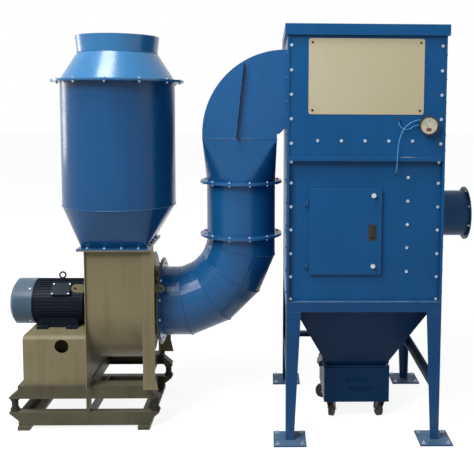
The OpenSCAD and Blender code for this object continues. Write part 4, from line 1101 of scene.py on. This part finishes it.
@dataclass
class Housing:
    """Clean-air plenum, filter chamber, base ring and legs with their trim."""

    left: float = 0.310
    right: float = 1.310
    cover_y: float = -0.542
    panel_y: float = -0.512
    front_y: float = -0.550
    bolt: tuple[float, float, float, float] = (0.0082, 0.0062, 0.0104, 0.0015)
    cover_levels: Sequence[float] = (2.553, 2.400, 2.248, 2.096, 1.942)
    row_x: Sequence[float] = (0.502, 0.652, 0.802, 0.952, 1.102)
    panel_levels: Sequence[float] = (1.836, 1.689, 1.536, 1.387, 1.233, 1.083, 0.935)
    middle_levels: Sequence[float] = (1.725, 1.574, 1.422, 1.272, 1.116)

    def bolts(self, maker: Maker) -> None:
        """Set the bolts of the cover, the panel and the side returns."""
        cover = [Seat((x, self.cover_y, z)) for x in (0.336, 1.282) for z in self.cover_levels]
        cover += [Seat((x, self.cover_y, 1.959)) for x in self.row_x]
        maker.field("cover_bolts", Head.HEX, cover, self.bolt, ZINC)
        levels = [z - 0.012 if z > 1.82 else z for z in self.panel_levels]
        panel = [Seat((x, self.panel_y, z)) for x in (0.338, 1.280) for z in levels]
        panel += [Seat((1.085, self.panel_y, z)) for z in self.middle_levels]
        maker.field("panel_bolts", Head.HEX, panel, self.bolt, ZINC)
        side = [
            Seat((x, y, z), (s, 0.0, 0.0))
            for x, s in ((self.left, -1.0), (self.right, 1.0)) for y in (-0.520,)
            for z in (0.985, 1.130, 1.275, 1.420, 1.565, 1.710, 1.900, 2.000, 2.200, 2.350, 2.500)
        ]
        maker.field("side_bolts", Head.HEX, side, self.bolt, BLUE)
        rear = [
            Seat((x, 0.550, z), (0.0, 1.0, 0.0))
            for x in (0.340, 1.280) for z in (0.985, 1.185, 1.385, 1.585, 1.785, 1.960, 2.160, 2.360, 2.560)
        ]
        maker.field("rear_bolts", Head.HEX, rear, self.bolt, BLUE)

    def name_plate(self, maker: Maker) -> None:
        """Screw the blank plate down at its corners."""
        corners = [Seat((x, -0.545, z)) for x in (0.467, 1.144) for z in (2.150, 2.572)]
        maker.field("plate_screws", Head.DOME, corners, (0.006, 0.003, 0.0085, 0.001), BEZEL)

    def feet(self, maker: Maker) -> None:
        """Anchor each foot plate through its four holes."""
        seats = [
            Seat((x + sx * 0.080, y + sy * 0.080, 0.010), (0.0, 0.0, 1.0))
            for x in (0.338, 1.282) for y in (-0.522, 0.522) for sx in (-1, 1) for sy in (-1, 1)
        ]
        maker.field("anchor_nuts", Head.NUT, seats, (0.0085, 0.0085, 0.014, 0.002), ZINC)

    def seams(self, maker: Maker) -> None:
        """Weld the hopper's corners and outlet flange and lay sealant along the top of the base ring."""
        top = [(0.370, -0.490, 0.858), (1.250, -0.490, 0.858), (1.250, 0.490, 0.858), (0.370, 0.490, 0.858)]
        low = [(0.608, -0.202, 0.386), (1.012, -0.202, 0.386), (1.012, 0.202, 0.386), (0.608, 0.202, 0.386)]
        maker.beads("hopper_corner_welds", [[a, b] for a, b in zip(top, low)], 0.0030, HOPPER_SHADED_BLUE,
                    closed=False)
        maker.beads("hopper_flange_weld", [low], 0.0030, HOPPER_SHADED_BLUE)
        ring = [(self.left + 0.001, -0.549, 0.9235), (self.right - 0.001, -0.549, 0.9235)]
        maker.beads("ring_top_sealant", [ring], 0.0022, LEG_SHADED_BLUE, closed=False)

    def smear(self, maker: Maker) -> None:
        """Leave the short pale smear of sealant on the ledge."""
        low, high = (1.028, -0.5545, 1.8562), (1.118, -0.5475, 1.8580)
        maker.block("ledge_sealant_smear", low, high, SMEAR, "plate_face", round_off=0.0006)

    def build(self, maker: Maker) -> None:
        """Dress the housing."""
        finishes, nodes = maker.finishes, maker.nodes
        finishes.dress(nodes, BLUE, "roof_cap", "plenum_left_wall", "plenum_right_wall", "plenum_rear_wall",
                       "plenum_front_cover", "tube_sheet", "chamber_left_wall", "chamber_right_wall",
                       "chamber_rear_wall", "chamber_front_panel")
        # Ring and legs take the darker blue whose darkening is painted shade.
        finishes.dress(nodes, LEG_SHADED_BLUE, "base_ring", "leg_front_left", "leg_front_right", "leg_rear_left",
                       "leg_rear_right")
        # The hopper, its flange and the leg ties take the darker blue whose darkening is painted shade.
        finishes.dress(nodes, HOPPER_SHADED_BLUE, "hopper", "hopper_outlet_flange", "leg_ties")
        finishes.dress(nodes, INLET_BLUE, "inlet_spigot")
        finishes.dress(nodes, PLATE, "name_plate")
        self.bolts(maker)
        self.name_plate(maker)
        self.feet(maker)
        self.seams(maker)
        self.smear(maker)
        LOG.info("housing dressed")


@dataclass
class PressureGauge:
    """Round dial gauge beside the name plate."""

    centre: Point = (1.196, -0.580, 2.058)
    face_r: float = 0.0515
    sweep: float = 110.0
    marks: int = 21

    def polar(self, radius: float, degrees: float, depth: float, drop: float = 0.018) -> Point:
        """A point on the dial, the angle measured from straight up about the low pivot."""
        angle = math.radians(degrees)
        x, y, z = self.centre
        return (x + radius * math.sin(angle), y - depth, z - drop + radius * math.cos(angle))

    def dial(self, maker: Maker) -> None:
        """Lay the cream face, its scale, numbers, window and pointer."""
        maker.turned("gauge_face", [(0.0, 0.0), (self.face_r, 0.0), (self.face_r, 0.0012), (0.0, 0.0012)],
                     self.centre, (0, -1, 0), DIAL)
        seats: list[Seat] = []
        long_seats: list[Seat] = []
        for i in range(self.marks):
            degrees = -self.sweep / 2 + self.sweep * i / (self.marks - 1)
            seat = Seat(self.polar(0.050, degrees, 0.0014), (math.sin(math.radians(degrees)), 0,
                        math.cos(math.radians(degrees))), (math.cos(math.radians(degrees)), 0,
                        -math.sin(math.radians(degrees))))
            (long_seats if i % 5 == 0 else seats).append(seat)
        maker.field("gauge_fine_marks", Head.RIB, seats, (0.0008, 0.004, 0.0004, 0.0), INK,
                    smooth_angle=None)
        maker.field("gauge_main_marks", Head.RIB, long_seats, (0.0014, 0.007, 0.0004, 0.0), INK,
                    smooth_angle=None)
        for number in range(5):
            degrees = -self.sweep / 2 + self.sweep * number / 4
            self.figure(maker, str(number), self.polar(0.0395, degrees, 0.0013))
        maker.block("gauge_window", self.shift(-0.016, 0.0012, -0.036), self.shift(0.016, 0.0018, -0.016), FLAG,
                    "gauge_black", round_off=0.0002)
        tip, heel = Vector(self.polar(0.046, -38.0, 0.0024)), Vector(self.polar(-0.010, -38.0, 0.0024))
        across = Vector(self.polar(0.0016, 52.0, 0.0024)) - Vector(self.polar(0.0, 0.0, 0.0024))
        deep = Vector((0.0, -0.0007, 0.0))
        points = [heel - across, heel + across, tip + across * 0.3, tip - across * 0.3]
        points += [p + deep for p in points]
        pointer = plain_mesh("gauge_pointer", [tuple(p) for p in points],
                             [(0, 1, 2, 3), (7, 6, 5, 4), (0, 4, 5, 1), (1, 5, 6, 2), (2, 6, 7, 3), (3, 7, 4, 0)])
        shape = bmesh.new()
        shape.from_mesh(pointer.data)
        bmesh.ops.recalc_face_normals(shape, faces=shape.faces)
        shape.to_mesh(pointer.data)
        shape.free()
        finish_piece(pointer, maker.finishes.get(INK), smooth_angle=None)
        pivot = self.polar(0.0, 0.0, 0.0012)
        maker.turned("gauge_pivot", [(0.0, 0.0), (0.0035, 0.0), (0.0035, 0.002), (0.002, 0.003), (0.0, 0.003)], pivot,
                     (0, -1, 0), BEZEL, sides=20)

    def shift(self, x: float, out: float, z: float) -> Point:
        """A point at an offset from the dial's centre."""
        return (self.centre[0] + x, self.centre[1] - out, self.centre[2] + z)

    def figure(self, maker: Maker, word: str, at: Point) -> None:
        """Print one plain number on the dial.

        Args:
            maker: The shared tools.
            word: The number.
            at: Its centre.
        """
        curve = bpy.data.curves.new("gauge_number_" + word, "FONT")
        curve.body = word
        curve.size = 0.012
        curve.extrude = 0.0001
        curve.align_x = "CENTER"
        curve.align_y = "CENTER"
        text = bpy.data.objects.new("gauge_number_" + word, curve)
        bpy.context.scene.collection.objects.link(text)
        bpy.context.view_layer.update()
        graph = bpy.context.evaluated_depsgraph_get()
        mesh = bpy.data.meshes.new_from_object(text.evaluated_get(graph), depsgraph=graph)
        bpy.data.objects.remove(text)
        mesh.transform(Matrix.Translation(Vector(at)) @ Matrix.Rotation(math.radians(90.0), 4, "X"))
        mesh.materials.clear()
        piece = bpy.data.objects.new("gauge_number_" + word, mesh)
        bpy.context.scene.collection.objects.link(piece)
        finish_piece(piece, maker.finishes.get(INK), smooth_angle=None)

    def build(self, maker: Maker) -> None:
        """Dress the gauge."""
        maker.finishes.dress(maker.nodes, BEZEL, "pressure_gauge")
        self.dial(maker)
        x, y, z = self.centre
        rim = [(0.0520, 0.0), (0.0560, 0.0), (0.0575, 0.0012), (0.0560, 0.0024), (0.0520, 0.0015)]
        maker.turned("gauge_inner_rim", rim, (x, y - 0.0035, z), (0, -1, 0), CHROME, sides=64)
        LOG.info("gauge dressed")


@dataclass
class Door:
    """Inspection door with its seal, hinges, pull and quarter-turn knobs."""

    left: float = 0.455
    right: float = 0.915
    low: float = 1.102
    high: float = 1.654
    face_y: float = -0.5345
    knob_x: float = 0.863
    knob_levels: Sequence[float] = (1.158, 1.612)

    def build(self, maker: Maker) -> None:
        """Dress the door."""
        finishes, nodes = maker.finishes, maker.nodes
        finishes.dress(nodes, BLUE, "door")
        finishes.dress(nodes, BLACK, "door_handle")
        finishes.dress(nodes, CHROME, "latch_knob_upper", "latch_knob_lower")
        inset = 0.0075
        y = -0.5155
        seal = [(self.left + inset, y, self.low + inset), (self.right - inset, y, self.low + inset),
                (self.right - inset, y, self.high - inset), (self.left + inset, y, self.high - inset)]
        maker.beads("door_seal", [seal], 0.0026, SEAL, "door", sides=8)
        for body, z in (("latch_lower", self.knob_levels[0]), ("latch_upper", self.knob_levels[1])):
            maker.turned(body + "_cap", [(0.0, 0.0), (0.0120, 0.0), (0.0120, 0.0010), (0.0100, 0.0022), (0.0, 0.0026)],
                         (self.knob_x, self.face_y - 0.0150, z), (0, -1, 0), CHROME, body, 32)
        LOG.info("door dressed")


@dataclass
class BinSet:
    """Wheeled dust bin with its clamps and castors."""

    pivots: Sequence[tuple[str, float, float, float]] = (
        ("front_left", 0.636, -0.178, -20.0), ("front_right", 0.984, -0.178, 15.0),
        ("rear_left", 0.636, 0.178, 90.0), ("rear_right", 0.984, 0.178, -30.0),
    )
    wheel_r: float = 0.050
    wheel_w: float = 0.030
    trail: float = 0.034

    def build(self, maker: Maker) -> None:
        """Dress the bin, clamps, forks and wheels."""
        finishes, nodes = maker.finishes, maker.nodes
        # The bin takes the darker blue whose darkening is painted shade.
        finishes.dress(nodes, HOPPER_SHADED_BLUE, "dust_bin")
        finishes.dress(nodes, HOOK, "bin_clamp_left", "bin_clamp_right")
        for place, x, y, degrees in self.pivots:
            finishes.dress(nodes, BLACK_PLATE, "castor_fork_" + place)
            finishes.dress(nodes, RUBBER, "castor_wheel_" + place)
            angle = math.radians(degrees)
            axle = Vector((math.cos(angle), math.sin(angle), 0.0))
            back = Vector((-math.sin(angle), math.cos(angle), 0.0))
            hub = Vector((x, y, self.wheel_r)) + back * self.trail
            seats = [Seat(tuple(hub + axle * s * (self.wheel_w / 2 + 0.011)), tuple(axle * s)) for s in (-1, 1)]
            maker.field("axle_nuts_" + place, Head.HEX, seats, (0.0085, 0.005, 0.0095, 0.001), ZINC,
                        "castor_" + place)
            ring = circle((0.0, 0.0, 0.0), self.wheel_r - 0.0035, "x", 40)
            lines = [[tuple(hub + axle * (side * (self.wheel_w / 2 - 0.002)) + back * p[1] + Vector((0, 0, p[2])))
                      for p in ring] for side in (-1, 1)]
            maker.beads("wheel_lips_" + place, lines, 0.0022, RUBBER, "wheel_" + place)
        for body, s in (("clamp_left", -1), ("clamp_right", 1)):
            x = 0.810 + s * (0.226 + 0.016)
            low, high = sorted((x + s * 0.0085, x + s * 0.0195))
            finish, slot = (GRIP, "isolator_rubber") if s > 0 else (HOOK, "bright_steel")
            maker.block(body + "_grip", (low, -0.0105, 0.327), (high, 0.0105, 0.352), finish, slot, body, 0.002)
        rim = [(0.584, -0.230, 0.3705), (1.036, -0.230, 0.3705), (1.036, 0.230, 0.3705), (0.584, 0.230, 0.3705)]
        maker.beads("bin_rolled_rim", [rim], 0.0028, HOPPER_SHADED_BLUE, "bin", sides=8)
        LOG.info("bin dressed")


@dataclass
class DuctRun:
    """Square elbow, transition, straight and gored elbow between housing and fan."""

    radius: float = 0.240
    flange_r: float = 0.287
    bend_r: float = 0.480
    gores: int = 3
    elbow_z: float = 0.790
    bolt: tuple[float, float, float, float] = (0.0085, 0.0065, 0.0110, 0.0015)

    def mitre(self, angle: float, grow: float = 0.0015) -> list[Point]:
        """The seam on one mitre plane of the gored elbow.

        Args:
            angle: Angle of the plane round the bend, in degrees.
            grow: How far the bead's line stands proud.

        Returns:
            Points round the seam.
        """
        spread = math.radians(45.0 / (self.gores + 1))
        a = math.radians(angle)
        made: list[Point] = []
        for i in range(48):
            t = math.tau * i / 48
            out = (self.bend_r + (self.radius + grow) * math.cos(t)) / math.cos(spread)
            made.append((out * math.cos(a) - self.bend_r, (self.radius + grow) * math.sin(t),
                         self.elbow_z + self.bend_r - out * math.sin(a)))
        return made

    def build(self, maker: Maker) -> None:
        """Dress the duct."""
        finishes, nodes = maker.finishes, maker.nodes
        finishes.dress(nodes, DUCT_BLUE, "duct_square_elbow", "duct_transition", "duct_straight", "duct_round_elbow")
        step = 90.0 / (self.gores + 1)
        seams = [self.mitre((i + 0.5) * step) for i in range(self.gores + 1)]
        maker.beads("elbow_gore_welds", seams, 0.0026, DUCT_BLUE)
        square = [(-0.2505, -0.2505, 1.955), (0.2505, -0.2505, 1.955), (0.2505, 0.2505, 1.955),
                  (-0.2505, 0.2505, 1.955)]
        maker.beads("square_seam_weld", [square], 0.0028, DUCT_BLUE)
        run = [(0.0, 0.2412, 1.290), (0.0, 0.2412, 1.640)]
        maker.beads("straight_long_seam", [run], 0.0024, DUCT_BLUE, closed=False)
        for name, low, high in (("upper_joint_bolts", 1.642, 1.658), ("lower_joint_bolts", 1.270, 1.286)):
            seats = [Seat(p, (0, 0, 1)) for p in circle((0, 0, high), 0.264, count=12, start=0.5)]
            maker.field(name, Head.HEX, seats, self.bolt, ZINC)
            under = [Seat(p, (0, 0, -1)) for p in circle((0, 0, low), 0.264, count=12, start=0.5)]
            maker.field(name.replace("bolts", "nuts"), Head.NUT, under, (0.0085, 0.006, 0.011, 0.0015), ZINC)
        LOG.info("ducts dressed")


@dataclass
class FanSet:
    """Centrifugal fan on its two frames, with the inlet joint and isolators."""

    shaft_z: float = 0.790

    def build(self, maker: Maker) -> None:
        """Dress the fan."""
        finishes, nodes = maker.finishes, maker.nodes
        finishes.dress(nodes, TAN, "fan_scroll", "fan_drive_plate", "fan_inlet_plate", "fan_inlet_collar",
                       "impeller_back_plate", "impeller_blades", "impeller_front_ring", "motor_pedestal")
        # The frames take the darker tan, partly grime and partly painted shade.
        finishes.dress(nodes, FRAME_TAN_GRIME_AND_SHADE, "fan_upper_frame", "fan_lower_frame")
        finishes.dress(nodes, PAD, "isolator_mounts")
        joint = [Seat(p, (1, 0, 0)) for p in circle((-0.545, 0.0, self.shaft_z), 0.264, "x", 12, 0.5)]
        maker.field("inlet_joint_bolts", Head.HEX, joint, (0.0085, 0.0065, 0.0110, 0.0015), ZINC)
        back = [Seat(p, (-1, 0, 0)) for p in circle((-0.561, 0.0, self.shaft_z), 0.290, "x", 12, 0.5)]
        maker.field("inlet_flange_nuts", Head.NUT, back, (0.0085, 0.006, 0.011, 0.0015), ZINC)
        outlet = []
        for x in (-1.030, -0.600):
            outlet += [Seat((x, y, 1.248), (0, 0, 1)) for y in (-0.37, -0.28, -0.19, -0.10, -0.01)]
        for y in (-0.428, 0.050):
            outlet += [Seat((x, y, 1.248), (0, 0, 1)) for x in (-0.98, -0.87, -0.76, -0.65)]
        maker.field("outlet_flange_bolts", Head.HEX, outlet, (0.0085, 0.0065, 0.0110, 0.0015), ZINC)
        LOG.info("fan dressed")


@dataclass
class Motor:
    """Finned motor with its cowl, terminal box and lifting eye."""

    axis_z: float = 0.790
    eye_x: float = -1.266
    eye_r: float = 0.021
    box_x: float = -1.243
    box_top: float = 0.175
    box_tilt: float = 48.0

    def build(self, maker: Maker) -> None:
        """Dress the motor."""
        finishes, nodes = maker.finishes, maker.nodes
        finishes.dress(nodes, NAVY, "motor_body")
        finishes.dress(nodes, COWL, "motor_cowl")
        top = self.axis_z + 0.150
        maker.turned("eye_bolt_collar", [(0.0, 0.0), (0.015, 0.0), (0.015, 0.004), (0.009, 0.010), (0.0, 0.010)],
                     (self.eye_x, 0.0, top + 0.006), (0, 0, 1), NAVY, sides=28)
        ring = circle((self.eye_x, 0.0, top + 0.034), self.eye_r, "y", 32)
        maker.beads("eye_bolt_ring", [ring], 0.0058, NAVY, sides=12)
        feet = [Seat((x, s * 0.145, 0.646), (0, 0, 1)) for x in (-1.372, -1.172) for s in (-1, 1)]
        maker.field("motor_foot_bolts", Head.HEX, feet, (0.010, 0.008, 0.014, 0.002), NAVY)
        tilt = math.radians(self.box_tilt)
        out = Vector((0.0, -math.sin(tilt), math.cos(tilt)))
        down = Vector((0.0, -math.cos(tilt), -math.sin(tilt)))
        lid = Vector((self.box_x, 0.0, self.axis_z)) + out * self.box_top
        screws = [Seat(tuple(lid + Vector((a * 0.055, 0, 0)) + down * (b * 0.037)), tuple(out))
                  for a in (-1, 1) for b in (-1, 1)]
        maker.field("terminal_box_screws", Head.DOME, screws, (0.0042, 0.0024, 0.0055, 0.0008), ZINC)
        cowl = [
            Seat((-1.462, 0.1590 * math.sin(a), self.axis_z + 0.1590 * math.cos(a)), (0, math.sin(a), math.cos(a)))
            for a in (math.radians(v) for v in (45, 135, 225, 315))
        ]
        maker.field("cowl_screws", Head.DOME, cowl, (0.0055, 0.003, 0.0075, 0.001), ZINC)
        LOG.info("motor dressed")


@dataclass
class Silencer:
    """Tall round silencer on the fan outlet."""

    centre: tuple[float, float] = (-0.815, -0.189)
    radius: float = 0.375

    def build(self, maker: Maker) -> None:
        """Dress the silencer."""
        # Body and transition take the darker blue whose darkening is painted shade.
        maker.finishes.dress(maker.nodes, SILENCER_SHADED_BLUE, "silencer_transition", "silencer_body")
        # The top takes the lighter blue whose lightening is painted light.
        maker.finishes.dress(maker.nodes, CONE_LIT_BLUE, "silencer_top")
        x, y = self.centre
        maker.beads("silencer_seams", [circle((x, y, 1.510), self.radius + 0.0012, count=64),
                                       circle((x, y, 2.520), 0.2632, count=56)], 0.0028, DUCT_BLUE)
        top = [Seat(p, (0, 0, 1)) for p in circle((x, y, 2.343), 0.410, count=12)]
        maker.field("silencer_joint_bolts", Head.HEX, top, (0.0085, 0.0065, 0.0110, 0.0015), ZINC)
        under = [Seat(p, (0, 0, -1)) for p in circle((x, y, 2.327), 0.410, count=12)]
        maker.field("silencer_joint_nuts", Head.NUT, under, (0.0085, 0.006, 0.011, 0.0015), ZINC)
        seam = [(x, y + self.radius + 0.0012, 1.515), (x, y + self.radius + 0.0012, 2.325)]
        maker.beads("silencer_long_seam", [seam], 0.0024, DUCT_BLUE, closed=False)
        LOG.info("silencer dressed")


@dataclass
class Inlet:
    """Flanged inlet on the right side wall."""

    axis: tuple[float, float] = (0.0, 1.425)
    face_x: float = 1.594

    def build(self, maker: Maker) -> None:
        """Bolt the flange."""
        y, z = self.axis
        nuts = [Seat(p, (-1, 0, 0)) for p in circle((self.face_x - 0.008, y, z), 0.174, "x", 8, 0.5)]
        maker.field("inlet_flange_nuts_rear", Head.NUT, nuts, (0.0065, 0.006, 0.009, 0.0012), ZINC)
        maker.beads("inlet_welds", [circle((1.316, y, z), 0.161, "x", 56)], 0.003, HOPPER_SHADED_BLUE)
        LOG.info("inlet dressed")


@dataclass
class FilterBank:
    """Six pleated cartridges that hang from the tube sheet."""

    xs: Sequence[float] = (0.585, 1.035)
    ys: Sequence[float] = (-0.3323, 0.0190, 0.3703)
    radius: float = 0.1565
    low: float = 1.210
    high: float = 1.850
    pleats: int = 72

    def build(self, maker: Maker) -> None:
        """Fold the paper and dress the end caps."""
        maker.finishes.dress(maker.nodes, PAPER, "filter_cartridges")
        seats: list[Seat] = []
        middle = (self.low + self.high) / 2
        for x in self.xs:
            for y in self.ys:
                for i in range(self.pleats):
                    a = math.tau * i / self.pleats
                    side = (math.cos(a), math.sin(a), 0.0)
                    seats.append(Seat((x + self.radius * side[0], y + self.radius * side[1], middle), (0, 0, 1), side))
        maker.field("filter_pleats", Head.RIB, seats, (0.006, self.high - self.low - 0.044, 0.0045, 0.0), PAPER,
                    smooth_angle=None)
        LOG.info("filters dressed")


@dataclass
class Collector:
    """The whole machine in the order in which it is dressed."""

    tubing: GaugeTubing = field(default_factory=GaugeTubing)
    housing: Housing = field(default_factory=Housing)
    gauge: PressureGauge = field(default_factory=PressureGauge)
    door: Door = field(default_factory=Door)
    bin_set: BinSet = field(default_factory=BinSet)
    inlet: Inlet = field(default_factory=Inlet)
    filters: FilterBank = field(default_factory=FilterBank)
    ducts: DuctRun = field(default_factory=DuctRun)
    fan: FanSet = field(default_factory=FanSet)
    motor: Motor = field(default_factory=Motor)
    silencer: Silencer = field(default_factory=Silencer)

    def build(self, maker: Maker) -> None:
        """Dress every sub-assembly."""
        for part in (self.tubing, self.housing, self.gauge, self.door, self.bin_set, self.inlet, self.filters,
                     self.ducts, self.fan, self.motor, self.silencer):
            part.build(maker)


def main() -> None:
    """Load the frame, build the studio and dress the machine."""
    logging.basicConfig(level=logging.INFO, format="%(message)s")
    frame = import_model()
    Studio().build()
    Collector().build(Maker(frame))


if __name__ == "__main__":
    main()
